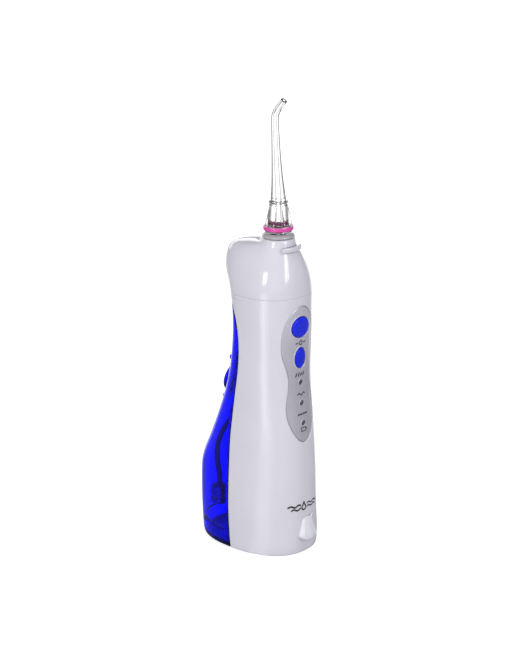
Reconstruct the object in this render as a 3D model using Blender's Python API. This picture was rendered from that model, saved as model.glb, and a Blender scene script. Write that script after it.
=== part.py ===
"""Cordless water flosser: handle with pump, motor and cell inside, a clip-on water tank at the
back and a clear jet tip.

Frame: metres, +Z up. The Z axis is the jet tip's axis, the origin is where it meets the resting
face. -Y is the front (control panel), +Y is the back (tank), X = 0 is the plane of symmetry of
the casings. Shapes are drawn in millimetres; MM turns them into metres.
"""
import math

import bmesh
import bpy
from mathutils import Matrix, Vector

MM = 0.001

# ------------------------------------------------------------------ driving dimensions (mm)
BODY_SEGMENTS = 32          # points round a casing section
FACETS = 0.7                # share of the nominal facet count used on turned pieces
SECTION_POWER = 2.35        # superellipse exponent of the casing's sections
WALL = 2.0                  # white casing wall
TANK_WALL = 1.8
GAP = 0.3                   # running gap between separate pieces
INSIDE = WALL + GAP         # inset of a piece that fits inside the white casing
POST_INSET = 1.0            # inset of the ends of posts and ribs, so they merge with the wall
HEAD_SPLIT_Z = 169.0        # joint between head cover and front housing
TANK_TOP_Z = 164.4
TANK_BASE_Z = 11.0          # joint between tank shell and its base

# whole outline (handle and tank):
# height, half width, y of the widest point, front y, back y
STATIONS = [
    (-2, 28.2, 16.5, -23.0, 54.8),
    (0, 28.2, 16.5, -23.0, 54.8),
    (3, 28.6, 16.6, -23.7, 55.7),
    (12, 28.6, 17.0, -24.0, 56.6),
    (25, 28.5, 17.5, -23.6, 57.3),
    (40, 28.0, 17.5, -23.4, 57.8),
    (50, 27.5, 17.3, -23.4, 57.3),
    (58, 27.0, 16.9, -23.2, 54.6),
    (70, 26.2, 16.0, -22.7, 48.6),
    (85, 25.2, 14.0, -21.6, 42.0),
    (100, 24.4, 12.0, -20.0, 36.0),
    (115, 24.0, 10.5, -18.9, 31.2),
    (130, 24.0, 10.0, -18.6, 28.1),
    (145, 24.2, 9.5, -19.0, 26.4),
    (158, 24.3, 8.5, -19.0, 27.2),
    (165, 24.2, 8.0, -19.0, 28.6),
    (171, 24.0, 8.0, -18.9, 30.2),
    (176, 23.2, 7.8, -18.5, 32.6),
    (181, 22.0, 7.5, -17.6, 35.8),
]
# heights at which the casing solids have a section
BODY_Z = [0, 3, 14, 30, 50, 58, 70, 85, 100, 115, 130, 145, 158, 165, 171, 176, 181]
HEAD_LOW_Z = (176, 181)     # body sections below the head's own rings
# head, outside and inside:
# front height, back height, half width, y of the widest point, front y, back y, exponent
HEAD_RINGS = [
    (185.5, 187.0, 20.3, 7.5, -16.4, 37.4, 2.35),
    (189.5, 191.9, 18.2, 7.5, -15.1, 37.3, 2.35),
    (192.7, 195.7, 16.2, 7.0, -13.9, 35.9, 2.35),
    (195.4, 198.3, 14.2, 5.4, -12.8, 31.8, 2.3),
    (197.8, 199.9, 12.4, 2.6, -11.7, 23.0, 2.2),
    (199.8, 201.1, 11.2, 0.8, -11.0, 14.2, 2.1),
    (203.0, 203.0, 10.4, 0.0, -10.4, 10.4, 2.0),
    (204.0, 204.0, 9.3, 0.0, -9.3, 9.3, 2.0),
]
HEAD_CAVITY_RINGS = [
    (185.0, 186.6, 18.3, 7.5, -14.4, 35.3, 2.35),
    (189.0, 191.6, 16.0, 7.0, -12.9, 34.6, 2.3),
    (193.0, 195.8, 13.2, 5.5, -11.2, 30.0, 2.3),
    (196.2, 198.2, 10.9, 3.5, -9.4, 20.0, 2.2),
]
# side view of the joint between white casing and tank: height, y
SEAM = [
    (-3, 16.4), (0, 16.5), (12, 17.5), (30, 18.4), (55, 18.6), (75, 18.5), (90, 17.3),
    (105, 15.7), (120, 13.5), (132, 12.5), (142, 12.8), (150, 14.2), (156, 16.4),
    (160, 19.0), (163, 22.6), (165, 28.0), (166, 34.0),
]
SEAM_Z = [-6, 0, 12, 30, 55, 75, 90, 105, 120, 132, 142, 150, 156, 160, 163, 165, 166]
# control panel outline: height, half width
PANEL = [
    (163.0, 0.0), (162.3, 3.3), (160.4, 6.7), (156.8, 10.0), (151.5, 12.4), (145.0, 13.75),
    (138.0, 14.05), (131.0, 13.2), (124.5, 11.2), (119.0, 9.9), (114.0, 9.55), (108.5, 10.3),
    (103.0, 11.5), (97.0, 12.1), (91.0, 11.7), (85.0, 9.9), (80.0, 7.4), (76.5, 4.5),
    (74.9, 2.2), (74.5, 0.0),
]
PANEL_SINK = 0.5            # panel face below the casing surface
PANEL_Z = (60, 170)         # heights of the casing solids that shape the panel
PANEL_CUT = (-40, -5)       # y range of cutters through the front wall
# keys: height, half width, half height
POWER_KEY = (149.5, 7.6, 6.4)
MODE_KEY = (129.5, 4.6, 6.45)
KEY_TRAVEL = 0.8
OVAL_SEGMENTS = 20
LAMP_HEIGHTS = {"lamp_normal": 113.5, "lamp_soft": 100.0, "lamp_pulse": 87.0}
LAMP_R = 1.65
BOARD_Y = -12.0             # front face of the control board
SWITCH_Y = BOARD_Y - 1.7    # front face of the switch plungers

# base screws: x, y, and the rib that ties each post to the housing wall (x0, x1, y0, y1)
BASE_SCREWS = (
    (-19.5, 4.0, (-40, -19.5, 3.0, 5.0)),
    (21.6, 9.0, (21.6, 40, 8.0, 10.0)),
    (-9.5, -13.5, (-10.5, -8.5, -40, -13.5)),
)
REAR_SCREWS = ((-12.0, 18.0, 9.1), (15.0, 116.0, 7.3))  # x, z, y of the post's end
SEAT_SCREW_X = 14.0         # screws at plus and minus this x
POST_R = 3.0                # screw posts of housing and head

DRIVE_X, MOTOR_Y = -9.5, 0.0
MOTOR_R, MOTOR_Z0, MOTOR_Z1 = 12.0, 28.0, 60.0
MOTOR_SCREW_X = (DRIVE_X - 8.0, DRIVE_X + 8.0)
GEAR_Z = 78.0
MODULE, PINION_TEETH, CROWN_TEETH = 0.72, 9, 30
CROWN_R = MODULE * CROWN_TEETH / 2
CROWN_Y = MOTOR_Y + 4.1     # front face of the crown gear's disc
CRANK = 2.5                 # crank radius; stroke is twice this
PIN_Z = GEAR_Z - CRANK      # crank pin at the bottom of the stroke
CYL_Y = -0.9                # pump cylinder axis, in the plane of the connecting rod
MOTOR_AXIS = (DRIVE_X, MOTOR_Y, 0)
PUMP_AXIS = (DRIVE_X, CYL_Y, 0)
GEAR_AXIS = (DRIVE_X, 0, GEAR_Z)
PIN_AXIS = (DRIVE_X, 0, PIN_Z)
PUMP_PORT = (DRIVE_X, CYL_Y, 125.5)     # side port of the pump head
PISTON_TOP_Z = 109.0

CELL_X, CELL_Y, CELL_R, CELL_Z0, CELL_Z1 = 12.2, -1.6, 9.2, 5.9, 70.9
CHARGE_Z = 17.0
CHARGE_AXIS = (0, 0, CHARGE_Z)
COUPLING_X, COUPLING_Z = 8.0, 84.0
COUPLING = (COUPLING_X, 0, COUPLING_Z)  # tank coupling's axis

TIP_Z = 188.0               # pivot height of the tip assembly
SLIDER_PIVOT = (0, 0, 193.4)
SLIDE_TRAVEL = 1.0          # inward travel of the tip release slider
SPRING_Z = 192.2            # axis of the slider's spring

LID_TILT = math.radians(16.0)
LID_CENTRE = (0.0, 34.0, 106.5)  # centre of the filler seat plane
HINGE_Y, HINGE_Z = 15.0, 1.9     # hinge axis in the lid's own frame
HINGE = (0, HINGE_Y, HINGE_Z)
HINGE_R = 1.9
STRAINER_X, STRAINER_Y, STRAINER_Z = -8.0, 44.0, 18.6   # strainer's axis and underside


# ------------------------------------------------------------------ curves and sections
def curve_at(rows, at, col=1):
    """Smooth curve through a table of (position, value...) rows."""
    if at <= rows[0][0]:
        return rows[0][col]
    if at >= rows[-1][0]:
        return rows[-1][col]
    i = next(k for k in range(len(rows) - 1) if rows[k][0] <= at <= rows[k + 1][0])

    def slope(k):
        before, after = rows[max(k - 1, 0)], rows[min(k + 1, len(rows) - 1)]
        return (after[col] - before[col]) / (after[0] - before[0])

    span = rows[i + 1][0] - rows[i][0]
    t = (at - rows[i][0]) / span
    start, end = rows[i][col], rows[i + 1][col]
    start_slope, end_slope = slope(i) * span, slope(i + 1) * span
    return (
        (2 * t**3 - 3 * t * t + 1) * start
        + (t**3 - 2 * t * t + t) * start_slope
        + (3 * t * t - 2 * t**3) * end
        + (t**3 - t * t) * end_slope
    )


def super_ring(z_front, z_back, half_width, wide_y, front, back, power):
    """One closed section; its height runs from z_front at the front to z_back at the back."""
    points = []
    for k in range(BODY_SEGMENTS):
        angle = 2 * math.pi * k / BODY_SEGMENTS
        s, c = math.sin(angle), math.cos(angle)
        x = half_width * math.copysign(abs(s) ** (2 / power), s)
        reach = (wide_y - front) if c > 0 else (back - wide_y)
        y = wide_y - reach * math.copysign(abs(c) ** (2 / power), c)
        t = (y - front) / (back - front)
        points.append((x, y, z_front + (z_back - z_front) * t))
    return points


def body_ring(z, inset=0.0):
    half_width, wide_y, front, back = (curve_at(STATIONS, z, col) for col in (1, 2, 3, 4))
    return super_ring(
        z, z, half_width - inset, wide_y, front + inset, back - inset, SECTION_POWER)


def front_y(z, x=0.0):
    """y of the casing's front surface at height z and offset x."""
    half_width, wide_y, front = (curve_at(STATIONS, z, col) for col in (1, 2, 3))
    share = max(0.0, 1 - (abs(x) / half_width) ** SECTION_POWER) ** (1 / SECTION_POWER)
    return wide_y - (wide_y - front) * share


def seam_y(z):
    return curve_at(SEAM, z)


PORT_Y = seam_y(COUPLING_Z) + GAP       # tank's front surface at the coupling
COVER_Y = front_y(CHARGE_Z) - GAP       # back of the charging cover


def panel_outline(grow=0.0):
    """Panel outline as (x, z) points, grown outwards by grow."""
    right = [(half_width, z) for z, half_width in PANEL]
    points = right + [(-x, z) for x, z in right[-2:0:-1]]
    grown = []
    for i, (x, z) in enumerate(points):
        (xa, za), (xb, zb) = points[i - 1], points[(i + 1) % len(points)]
        tx, tz = xb - xa, zb - za
        length = math.hypot(tx, tz)
        grown.append((x - tz / length * grow, z + tx / length * grow))
    return grown


def oval(z, half_width, half_height, grow=0.0):
    """Oval round height z as (x, z) points."""
    angles = [2 * math.pi * k / OVAL_SEGMENTS for k in range(OVAL_SEGMENTS)]
    return [((half_width + grow) * math.sin(a), z + (half_height + grow) * math.cos(a))
            for a in angles]


# ------------------------------------------------------------------ solids, in millimetres
def skin(bm, sections, triangles=False):
    """Adds a solid through closed sections with equal point counts, capped at both ends."""
    loops = [[bm.verts.new(p) for p in section] for section in sections]
    count = len(loops[0])
    for lo, hi in zip(loops, loops[1:]):
        for k in range(count):
            bm.faces.new((lo[k], lo[(k + 1) % count], hi[(k + 1) % count], hi[k]))
    if triangles:
        bmesh.ops.triangulate(bm, faces=list(bm.faces))
    bm.faces.new(loops[0])
    bm.faces.new(loops[-1])
    return bm


def loft(sections):
    return skin(bmesh.new(), sections, triangles=True)


def extruded(corners, shift):
    """Flat outline of 3D corners pushed along the vector shift."""
    bm = bmesh.new()
    face = bm.faces.new([bm.verts.new(p) for p in corners])
    made = bmesh.ops.extrude_face_region(bm, geom=[face])["geom"]
    moved = [g for g in made if isinstance(g, bmesh.types.BMVert)]
    bmesh.ops.translate(bm, vec=shift, verts=moved)
    return bm


def prism(points, y0, y1):
    """Outline of (x, z) points pushed along Y."""
    return extruded([(x, y0, z) for x, z in points], (0, y1 - y0, 0))


def block(x0, x1, y0, y1, z0, z1):
    bm = bmesh.new()
    bmesh.ops.create_cube(bm, size=1.0)
    bmesh.ops.scale(bm, vec=(x1 - x0, y1 - y0, z1 - z0), verts=bm.verts)
    centre = ((x0 + x1) / 2, (y0 + y1) / 2, (z0 + z1) / 2)
    bmesh.ops.translate(bm, vec=centre, verts=bm.verts)
    return bm


AXIS_TURNS = {
    "Z": Matrix.Identity(3),
    "Y": Matrix.Rotation(math.radians(-90), 3, "X"),
    "X": Matrix.Rotation(math.radians(90), 3, "Y"),
}


def turned(profile, segments, centre=(0, 0, 0), axis="Z", closed=False):
    """Solid of revolution of (r, h) points, h along the axis. A closed profile makes a ring."""
    bm = bmesh.new()
    verts = [bm.verts.new((r, 0, h)) for r, h in profile]
    edges = [bm.edges.new(p) for p in zip(verts, verts[1:])]
    if closed:
        edges.append(bm.edges.new((verts[-1], verts[0])))
    bmesh.ops.spin(
        bm, geom=verts + edges, cent=(0, 0, 0), axis=(0, 0, 1), angle=2 * math.pi,
        steps=max(10, 2 * round(segments * FACETS / 2)), use_merge=True)
    bmesh.ops.remove_doubles(bm, verts=bm.verts, dist=1e-5)
    open_edges = [e for e in bm.edges if e.is_boundary]
    if open_edges:
        bmesh.ops.contextual_create(bm, geom=open_edges)
    bmesh.ops.transform(bm, matrix=AXIS_TURNS[axis].to_4x4(), verts=bm.verts)
    bmesh.ops.translate(bm, vec=centre, verts=bm.verts)
    return bm


def rod(r, h0, h1, segments, centre=(0, 0, 0), axis="Z"):
    return turned([(0, h0), (r, h0), (r, h1), (0, h1)], segments, centre, axis)


def sector(r0, r1, z0, z1, half_angle, steps):
    """Solid arc between two radii round Z, half_angle degrees to each side of the front."""
    sections = []
    for k in range(steps + 1):
        th = math.radians(-90.0 - half_angle + 2 * half_angle * k / steps)
        corners = ((r0, z0), (r1, z0), (r1, z1), (r0, z1))
        sections.append([(r * math.cos(th), r * math.sin(th), z) for r, z in corners])
    return skin(bmesh.new(), sections)


def body_solid(z0, z1, inset=0.0):
    """Casing outline between two heights, moved inwards by inset."""
    heights = sorted({z0, z1} | {z for z in BODY_Z if z0 + 1.2 < z < z1 - 1.2})
    return loft([body_ring(z, inset) for z in heights])


def behind_seam(shift):
    """Region behind the seam, moved along Y by shift."""
    far = 90
    outline = [(seam_y(z) + shift, z) for z in SEAM_Z] + [(far, SEAM_Z[-1]), (far, SEAM_Z[0])]
    return extruded([(-45, y, z) for y, z in outline], (90, 0, 0))


# ------------------------------------------------------------------ objects
def link_object(name, data):
    ob = bpy.data.objects.new(name, data)
    bpy.context.scene.collection.objects.link(ob)
    return ob


def put(name, bm):
    """Makes an object from a bmesh given in millimetres."""
    bmesh.ops.scale(bm, vec=(MM, MM, MM), verts=bm.verts)
    bmesh.ops.recalc_face_normals(bm, faces=bm.faces)
    mesh = bpy.data.meshes.new(name)
    bm.to_mesh(mesh)
    bm.free()
    return link_object(name, mesh)


def finish(ob, mat, sharp_angle=35):
    ob.data.materials.clear()
    ob.data.materials.append(mat)
    ob.data.shade_smooth()
    ob.data.set_sharp_from_angle(angle=math.radians(sharp_angle))


def piece(name, bm, mat, sharp_angle=35):
    finish(put(name, bm), mat, sharp_angle)


def combine(target, other, operation):
    """Boolean of target with a bmesh or an object; the other shape is used up."""
    if isinstance(other, bmesh.types.BMesh):
        other = put("cutter", other)
    mod = target.modifiers.new("b", "BOOLEAN")
    mod.operation, mod.object, mod.solver = operation, other, "EXACT"
    bpy.context.view_layer.update()
    graph = bpy.context.evaluated_depsgraph_get()
    made = bpy.data.meshes.new_from_object(target.evaluated_get(graph), depsgraph=graph)
    bm = bmesh.new()
    bm.from_mesh(made)
    bmesh.ops.remove_doubles(bm, verts=bm.verts, dist=4e-7)
    bmesh.ops.dissolve_degenerate(bm, edges=bm.edges, dist=2e-7)
    bm.to_mesh(made)
    bm.free()
    target.modifiers.clear()
    target.data = made
    bpy.data.objects.remove(other)
    return target


def cut(target, other):
    return combine(target, other, "DIFFERENCE")


def common(target, other):
    return combine(target, other, "INTERSECT")


def join(target, other):
    return combine(target, other, "UNION")


def clipped(bm, limit):
    """Temporary object: the part of bm inside limit."""
    return common(put("cutter", bm), limit)


def tube(name, points, radius, mat, smooth=True):
    """Round hose or wire along a path (mm), with filled ends, as a mesh."""
    path = bpy.data.curves.new(name, "CURVE")
    path.dimensions = "3D"
    path.resolution_u = 4
    path.bevel_depth = radius * MM
    path.bevel_resolution = 1
    path.use_fill_caps = True
    spline = path.splines.new("BEZIER" if smooth else "POLY")
    if smooth:
        spline.bezier_points.add(len(points) - 1)
        for knot, p in zip(spline.bezier_points, points):
            knot.co = Vector(p) * MM
            knot.handle_left_type = knot.handle_right_type = "AUTO"
    else:
        spline.points.add(len(points) - 1)
        for knot, p in zip(spline.points, points):
            knot.co = (*(Vector(p) * MM), 1)
    curve = link_object(name, path)
    bpy.context.view_layer.update()
    graph = bpy.context.evaluated_depsgraph_get()
    mesh = bpy.data.meshes.new_from_object(curve.evaluated_get(graph), depsgraph=graph)
    bpy.data.objects.remove(curve)
    bm = bmesh.new()
    bm.from_mesh(mesh)
    bmesh.ops.remove_doubles(bm, verts=bm.verts, dist=1e-6)
    bmesh.ops.recalc_face_normals(bm, faces=bm.faces)
    mesh.clear_geometry()
    bm.to_mesh(mesh)
    bm.free()
    finish(link_object(name, mesh), mat, 60)


def material(name, rgb, roughness, metallic=0.0, alpha=1.0):
    mat = bpy.data.materials.new(name)
    mat.use_nodes = True
    inputs = mat.node_tree.nodes["Principled BSDF"].inputs
    inputs["Base Color"].default_value = (*rgb, 1)
    inputs["Roughness"].default_value = roughness
    inputs["Metallic"].default_value = metallic
    inputs["Alpha"].default_value = alpha
    mat.diffuse_color = (*rgb, alpha)
    return mat


# ------------------------------------------------------------------ materials
for old in list(bpy.data.objects):
    bpy.data.objects.remove(old)

WHITE = material("white_abs", rgb=(0.80, 0.80, 0.84), roughness=0.22)
INNER = material("frame_abs", rgb=(0.62, 0.62, 0.60), roughness=0.5)
GREY = material("panel_silver", rgb=(0.50, 0.49, 0.57), roughness=0.35)
BLUE = material("button_blue", rgb=(0.03, 0.05, 0.75), roughness=0.35)
TANK = material("tank_blue", rgb=(0.03, 0.02, 0.90), roughness=0.08, alpha=0.55)
CLEAR = material("clear_tip", rgb=(0.92, 0.94, 0.94), roughness=0.05, alpha=0.3)
PINK = material("ring_pink", rgb=(0.80, 0.10, 0.42), roughness=0.3)
RUBBER = material("black_rubber", rgb=(0.02, 0.02, 0.02), roughness=0.6)
SILICONE = material("white_silicone", rgb=(0.88, 0.88, 0.93), roughness=0.45)
STEEL = material("steel", rgb=(0.62, 0.62, 0.64), roughness=0.3, metallic=1.0)
BRASS = material("brass", rgb=(0.70, 0.52, 0.20), roughness=0.35, metallic=1.0)
ACETAL = material("acetal", rgb=(0.85, 0.84, 0.78), roughness=0.45)
BOARD = material("board_green", rgb=(0.02, 0.22, 0.08), roughness=0.45)
WRAP = material("cell_wrap", rgb=(0.05, 0.25, 0.20), roughness=0.4)
LAMP = material("lamp_dark", rgb=(0.10, 0.10, 0.13), roughness=0.2)


# ------------------------------------------------------------------ casing
def front_housing():
    """White shell, closed by the head above and by the rear panel at the back."""
    def add_inside(part):
        join(housing, common(part, body_solid(0, HEAD_SPLIT_Z, POST_INSET)))

    housing = put("front_housing", body_solid(0, HEAD_SPLIT_Z))
    cut(housing, body_solid(-1, HEAD_SPLIT_Z + 1, WALL))
    cut(housing, behind_seam(0.0))
    for x, z, end_y in REAR_SCREWS:
        add_inside(put("cutter", rod(POST_R, -30, end_y, 14, (x, 0, z), "Y")))
        cut(housing, rod(1.25, end_y - 7.0, end_y + 2, 12, (x, 0, z), "Y"))
    for x, y, rib in BASE_SCREWS:
        post = put("cutter", rod(POST_R, 2.7, 11.0, 14, (x, y, 0)))
        add_inside(join(post, block(*rib, 3.1, 9.0)))
        cut(housing, rod(1.35, 2.0, 9.4, 12, (x, y, 0)))
    # upright ribs on both sides of the charging socket
    for side in (-1, 1):
        x0, x1 = sorted((side * 4.9, side * 6.5))
        add_inside(put("cutter", block(x0, x1, -30, -12.4, 11.6, 22.4)))
    cut(housing, prism(panel_outline(GAP), *PANEL_CUT))
    cut(housing, rod(3.4, -30, -18, 20, CHARGE_AXIS, "Y"))
    finish(housing, WHITE)


def head_core():
    """Solid slightly smaller than the head, which trims the head's rib and posts."""
    inset, drop = 1.2, 0.8
    rings = [body_ring(z, inset) for z in HEAD_LOW_Z]
    for z_front, z_back, half_width, wide_y, front, back, power in HEAD_RINGS[:5]:
        rings.append(super_ring(z_front - drop, z_back - drop, half_width - inset, wide_y,
                                front + inset, back - inset, power))
    return loft(rings)


def head_cover():
    """Hollow head with the neck, the tip bore and the slider's slot."""
    outside = [body_ring(z) for z in (HEAD_SPLIT_Z + GAP, *HEAD_LOW_Z)]
    head = put("head_cover", loft(outside + [super_ring(*row) for row in HEAD_RINGS]))
    cavity = [body_ring(z, WALL) for z in (HEAD_SPLIT_Z - 1, *HEAD_LOW_Z)]
    cut(head, loft(cavity + [super_ring(*row) for row in HEAD_CAVITY_RINGS]))
    cut(head, rod(9.3, 188, 200.2, 32))
    cut(head, turned([(0, 199), (7.7, 199), (7.7, 203.0), (8.6, 204.6), (0, 204.6)], 32))
    cut(head, block(-6.7, 6.7, -18.0, -5.0, 196.9, 199.7))
    # cross rib behind the release spring
    join(head, clipped(block(-4.0, 4.0, 21.0, 22.6, 189.0, 200.0), head_core()))
    # lip that reaches down inside the housing: height, inset
    lip_outside = ((166.6, INSIDE), (HEAD_SPLIT_Z + 0.5, INSIDE),
                   (HEAD_SPLIT_Z + 0.9, WALL - 0.6), (172.6, WALL - 0.6))
    lip_inside = ((165.0, WALL + 1.6), (170.4, WALL + 1.6), (173.2, WALL - 0.5))
    lip = put("cutter", loft([body_ring(z, inset) for z, inset in lip_outside]))
    join(head, cut(lip, loft([body_ring(z, inset) for z, inset in lip_inside])))
    for x in (-SEAT_SCREW_X, SEAT_SCREW_X):
        join(head, clipped(rod(POST_R, 183.3, 194.0, 14, (x, 0, 0)), head_core()))
        cut(head, rod(1.2, 182.0, 188.4, 12, (x, 0, 0)))
    finish(head, WHITE, 50)


def rear_panel():
    """White wall between the handle's inside and the tank."""
    rear = put("rear_panel", body_solid(3.2, 165.0, INSIDE))
    common(rear, behind_seam(-3.2))
    cut(rear, behind_seam(-1.0))
    cut(rear, rod(3.4, 8, 24, 20, COUPLING, "Y"))
    for x, z, _ in REAR_SCREWS:
        cut(rear, rod(1.5, 0, 30, 14, (x, 0, z), "Y"))
        cut(rear, rod(2.5, seam_y(z) - 2.2, 30, 14, (x, 0, z), "Y"))
    finish(rear, WHITE)


def base_cover():
    base = put("base_cover", loft([body_ring(0, INSIDE), body_ring(2.4, INSIDE)]))
    cut(base, behind_seam(-1.2))
    screw_hole = [(0, -1), (2.8, -1), (2.8, 1.5), (1.6, 1.5), (1.6, 3), (0, 3)]
    for x, y, _ in BASE_SCREWS:
        cut(base, turned(screw_hole, 16, (x, y, 0)))
    finish(base, WHITE)


# ------------------------------------------------------------------ panel, keys, lamps, board
def control_panel():
    """Curved plate in the front wall, with a flange behind the wall's edge."""
    panel = put("control_panel", prism(panel_outline(), *PANEL_CUT))
    common(panel, body_solid(*PANEL_Z, PANEL_SINK))
    cut(panel, body_solid(*PANEL_Z, 3.2))
    flange = clipped(prism(panel_outline(1.5), *PANEL_CUT), body_solid(*PANEL_Z, INSIDE))
    join(panel, cut(flange, body_solid(*PANEL_Z, 3.4)))
    for key in (POWER_KEY, MODE_KEY):
        cut(panel, prism(oval(*key, GAP), *PANEL_CUT))
    for z in LAMP_HEIGHTS.values():
        cut(panel, rod(LAMP_R + 0.15, *PANEL_CUT, 16, (0, 0, z), "Y"))
    finish(panel, GREY)


def key_button(name, key):
    """Oval key with a domed face and a bevelled back edge."""
    face_y = front_y(key[0]) + PANEL_SINK
    rings = []
    # y step from the face, growth of the oval
    for step, grow in ((-1.15, -3.6), (-1.0, -1.9), (-0.7, -0.7), (-0.2, 0.0), (3.0, 0.0)):
        rings.append([(x, front_y(key[0], x) * 0.35 + face_y * 0.65 + step, z)
                      for x, z in oval(*key, grow)])
    back = SWITCH_Y - KEY_TRAVEL - 0.1
    rings.append([(x, back - 0.9, z) for x, z in oval(*key)])
    rings.append([(x, back, z) for x, z in oval(*key, -0.6)])
    piece(name, loft(rings), BLUE, 60)


def keys():
    key_button("power_button", POWER_KEY)
    key_button("mode_button", MODE_KEY)


def lamps():
    back = BOARD_Y - 1.6
    for name, z in LAMP_HEIGHTS.items():
        y = front_y(z) + PANEL_SINK
        profile = [(0, y - 0.35), (LAMP_R * 0.75, y - 0.3), (LAMP_R, y + 0.1),
                   (LAMP_R, back), (0, back)]
        piece(name, turned(profile, 16, (0, 0, z), "Y"), LAMP)


def control_board():
    piece("control_board", block(-10.5, 10.5, BOARD_Y, BOARD_Y + 1.6, 77.5, 160.5), BOARD)


def switches():
    for name, (z, _, _) in (("power_switch", POWER_KEY), ("mode_switch", MODE_KEY)):
        switch = put(name, block(-3, 3, BOARD_Y - 1.4, BOARD_Y - 0.1, z - 3, z + 3))
        join(switch, rod(1.6, SWITCH_Y, BOARD_Y - 1.2, 16, (0, 0, z), "Y"))
        finish(switch, STEEL)


# ------------------------------------------------------------------ cell and charging
def battery_cell():
    profile = [
        (0, CELL_Z0), (CELL_R - 0.5, CELL_Z0), (CELL_R, CELL_Z0 + 0.5), (CELL_R, CELL_Z1 - 2.2),
        (CELL_R - 0.6, CELL_Z1 - 1.6), (3.0, CELL_Z1 - 1.6), (3.0, CELL_Z1), (0, CELL_Z1)]
    piece("battery_cell", turned(profile, 28, (CELL_X, CELL_Y, 0)), WRAP)


def charging_socket():
    """Block with a round sleeve and a centre pin facing the front."""
    socket = put("charging_socket", block(-4.6, 4.6, -18.6, -11.6, 12.0, 22.0))
    join(socket, rod(3.1, -21.5, -18.0, 20, CHARGE_AXIS, "Y"))
    cut(socket, rod(1.9, -30, -13.5, 18, CHARGE_AXIS, "Y"))
    join(socket, rod(0.65, -20.5, -12.5, 12, CHARGE_AXIS, "Y"))
    finish(socket, RUBBER)


def charging_cover():
    """Soft wedge, thick at the bottom and thin at the top, with a plug behind it."""
    # height, half width at the back, depth
    rows = ((9.6, 7.9, 3.4), (10.1, 8.2, 4.1), (13.0, 7.4, 4.0), (17.0, 5.9, 2.9),
            (21.0, 4.6, 1.7), (23.4, 3.6, 0.9), (24.4, 2.4, 0.5))
    front_share, back_step = 0.62, 0.55
    sections = []
    for z, half_width, depth in rows:
        front_half = half_width * front_share
        sections.append([
            (-half_width, COVER_Y + back_step, z), (-front_half, COVER_Y - depth, z),
            (front_half, COVER_Y - depth, z), (half_width, COVER_Y + back_step, z)])
    cover = put("charging_cover", loft(sections))
    cut(cover, body_solid(2, 40, -GAP))
    join(cover, rod(2.3, COVER_Y - 1.2, COVER_Y + 2.0, 16, CHARGE_AXIS, "Y"))
    finish(cover, SILICONE)


# ------------------------------------------------------------------ frame, motor, gears, pump
def inner_frame():
    frame = put("inner_frame", block(-20, 3.0, 9.5, 11.5, 12, 96))  # plate behind the motor
    for box in (
        (2.5, 17, 9.5, 11.5, 3.5, 73),      # plate behind the cell
        (5.0, 17, -6, 10.5, 3.5, 5.6),      # foot under the cell
        (6.0, 18.5, 2.0, 10.0, 16, 21),     # lower cell cradle
        (6.0, 18.5, 2.0, 10.0, 58, 63),     # upper cell cradle
        (0.0, 5.0, 7.6, 9.6, 94, 122),      # strip up to the upper rear screw
        (0.0, 18.0, 7.6, 9.6, 110, 122),    # plate at the upper rear screw
    ):
        join(frame, block(*box))
    cut(frame, rod(CELL_R + 0.25, 5.6, 75, 28, (CELL_X, CELL_Y, 0)))
    cut(frame, rod(2.3, 0, 20, 14, (COUPLING_X, 0, 116), "Y"))
    for x, z, _ in REAR_SCREWS:
        cut(frame, rod(1.5, 0, 30, 12, (x, 0, z), "Y"))
    # shelves above the motor and below the cylinder
    join(frame, block(-21, 2.4, -9.4, 10.5, 61.8, 63.8))
    join(frame, block(-20, 1.5, -9.0, 10.5, 93.6, 95.6))
    cut(frame, rod(MOTOR_R + 0.3, 5, MOTOR_Z1 + 1.0, 36, MOTOR_AXIS))
    cut(frame, rod(4.2, 55, 70, 20, MOTOR_AXIS))
    cut(frame, rod(6.6, 90, 99, 24, PUMP_AXIS))
    cut(frame, rod(1.6, 5, 15, 16, GEAR_AXIS, "Y"))
    for x in MOTOR_SCREW_X:
        cut(frame, rod(1.2, 60, 66, 12, (x, MOTOR_Y, 0)))
    common(frame, body_solid(2.8, 165, INSIDE))
    finish(frame, INNER)


def drive_motor():
    """Can with a stepped bottom, a bored top boss and two screw holes in its top."""
    profile = [
        (0, MOTOR_Z0), (4, MOTOR_Z0), (4, MOTOR_Z0 + 1.5), (11.2, MOTOR_Z0 + 1.5),
        (MOTOR_R, MOTOR_Z0 + 2.3), (MOTOR_R, MOTOR_Z1 - 0.6), (MOTOR_R - 0.6, MOTOR_Z1),
        (3.2, MOTOR_Z1), (3.2, MOTOR_Z1 + 1.5), (1.3, MOTOR_Z1 + 1.5), (1.3, MOTOR_Z1 - 1.5),
        (0, MOTOR_Z1 - 1.5)]
    motor = put("drive_motor", turned(profile, 28, MOTOR_AXIS))
    for x in MOTOR_SCREW_X:
        cut(motor, rod(1.2, MOTOR_Z1 - 3.5, MOTOR_Z1 + 2, 12, (x, MOTOR_Y, 0)))
    finish(motor, STEEL)


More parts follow.
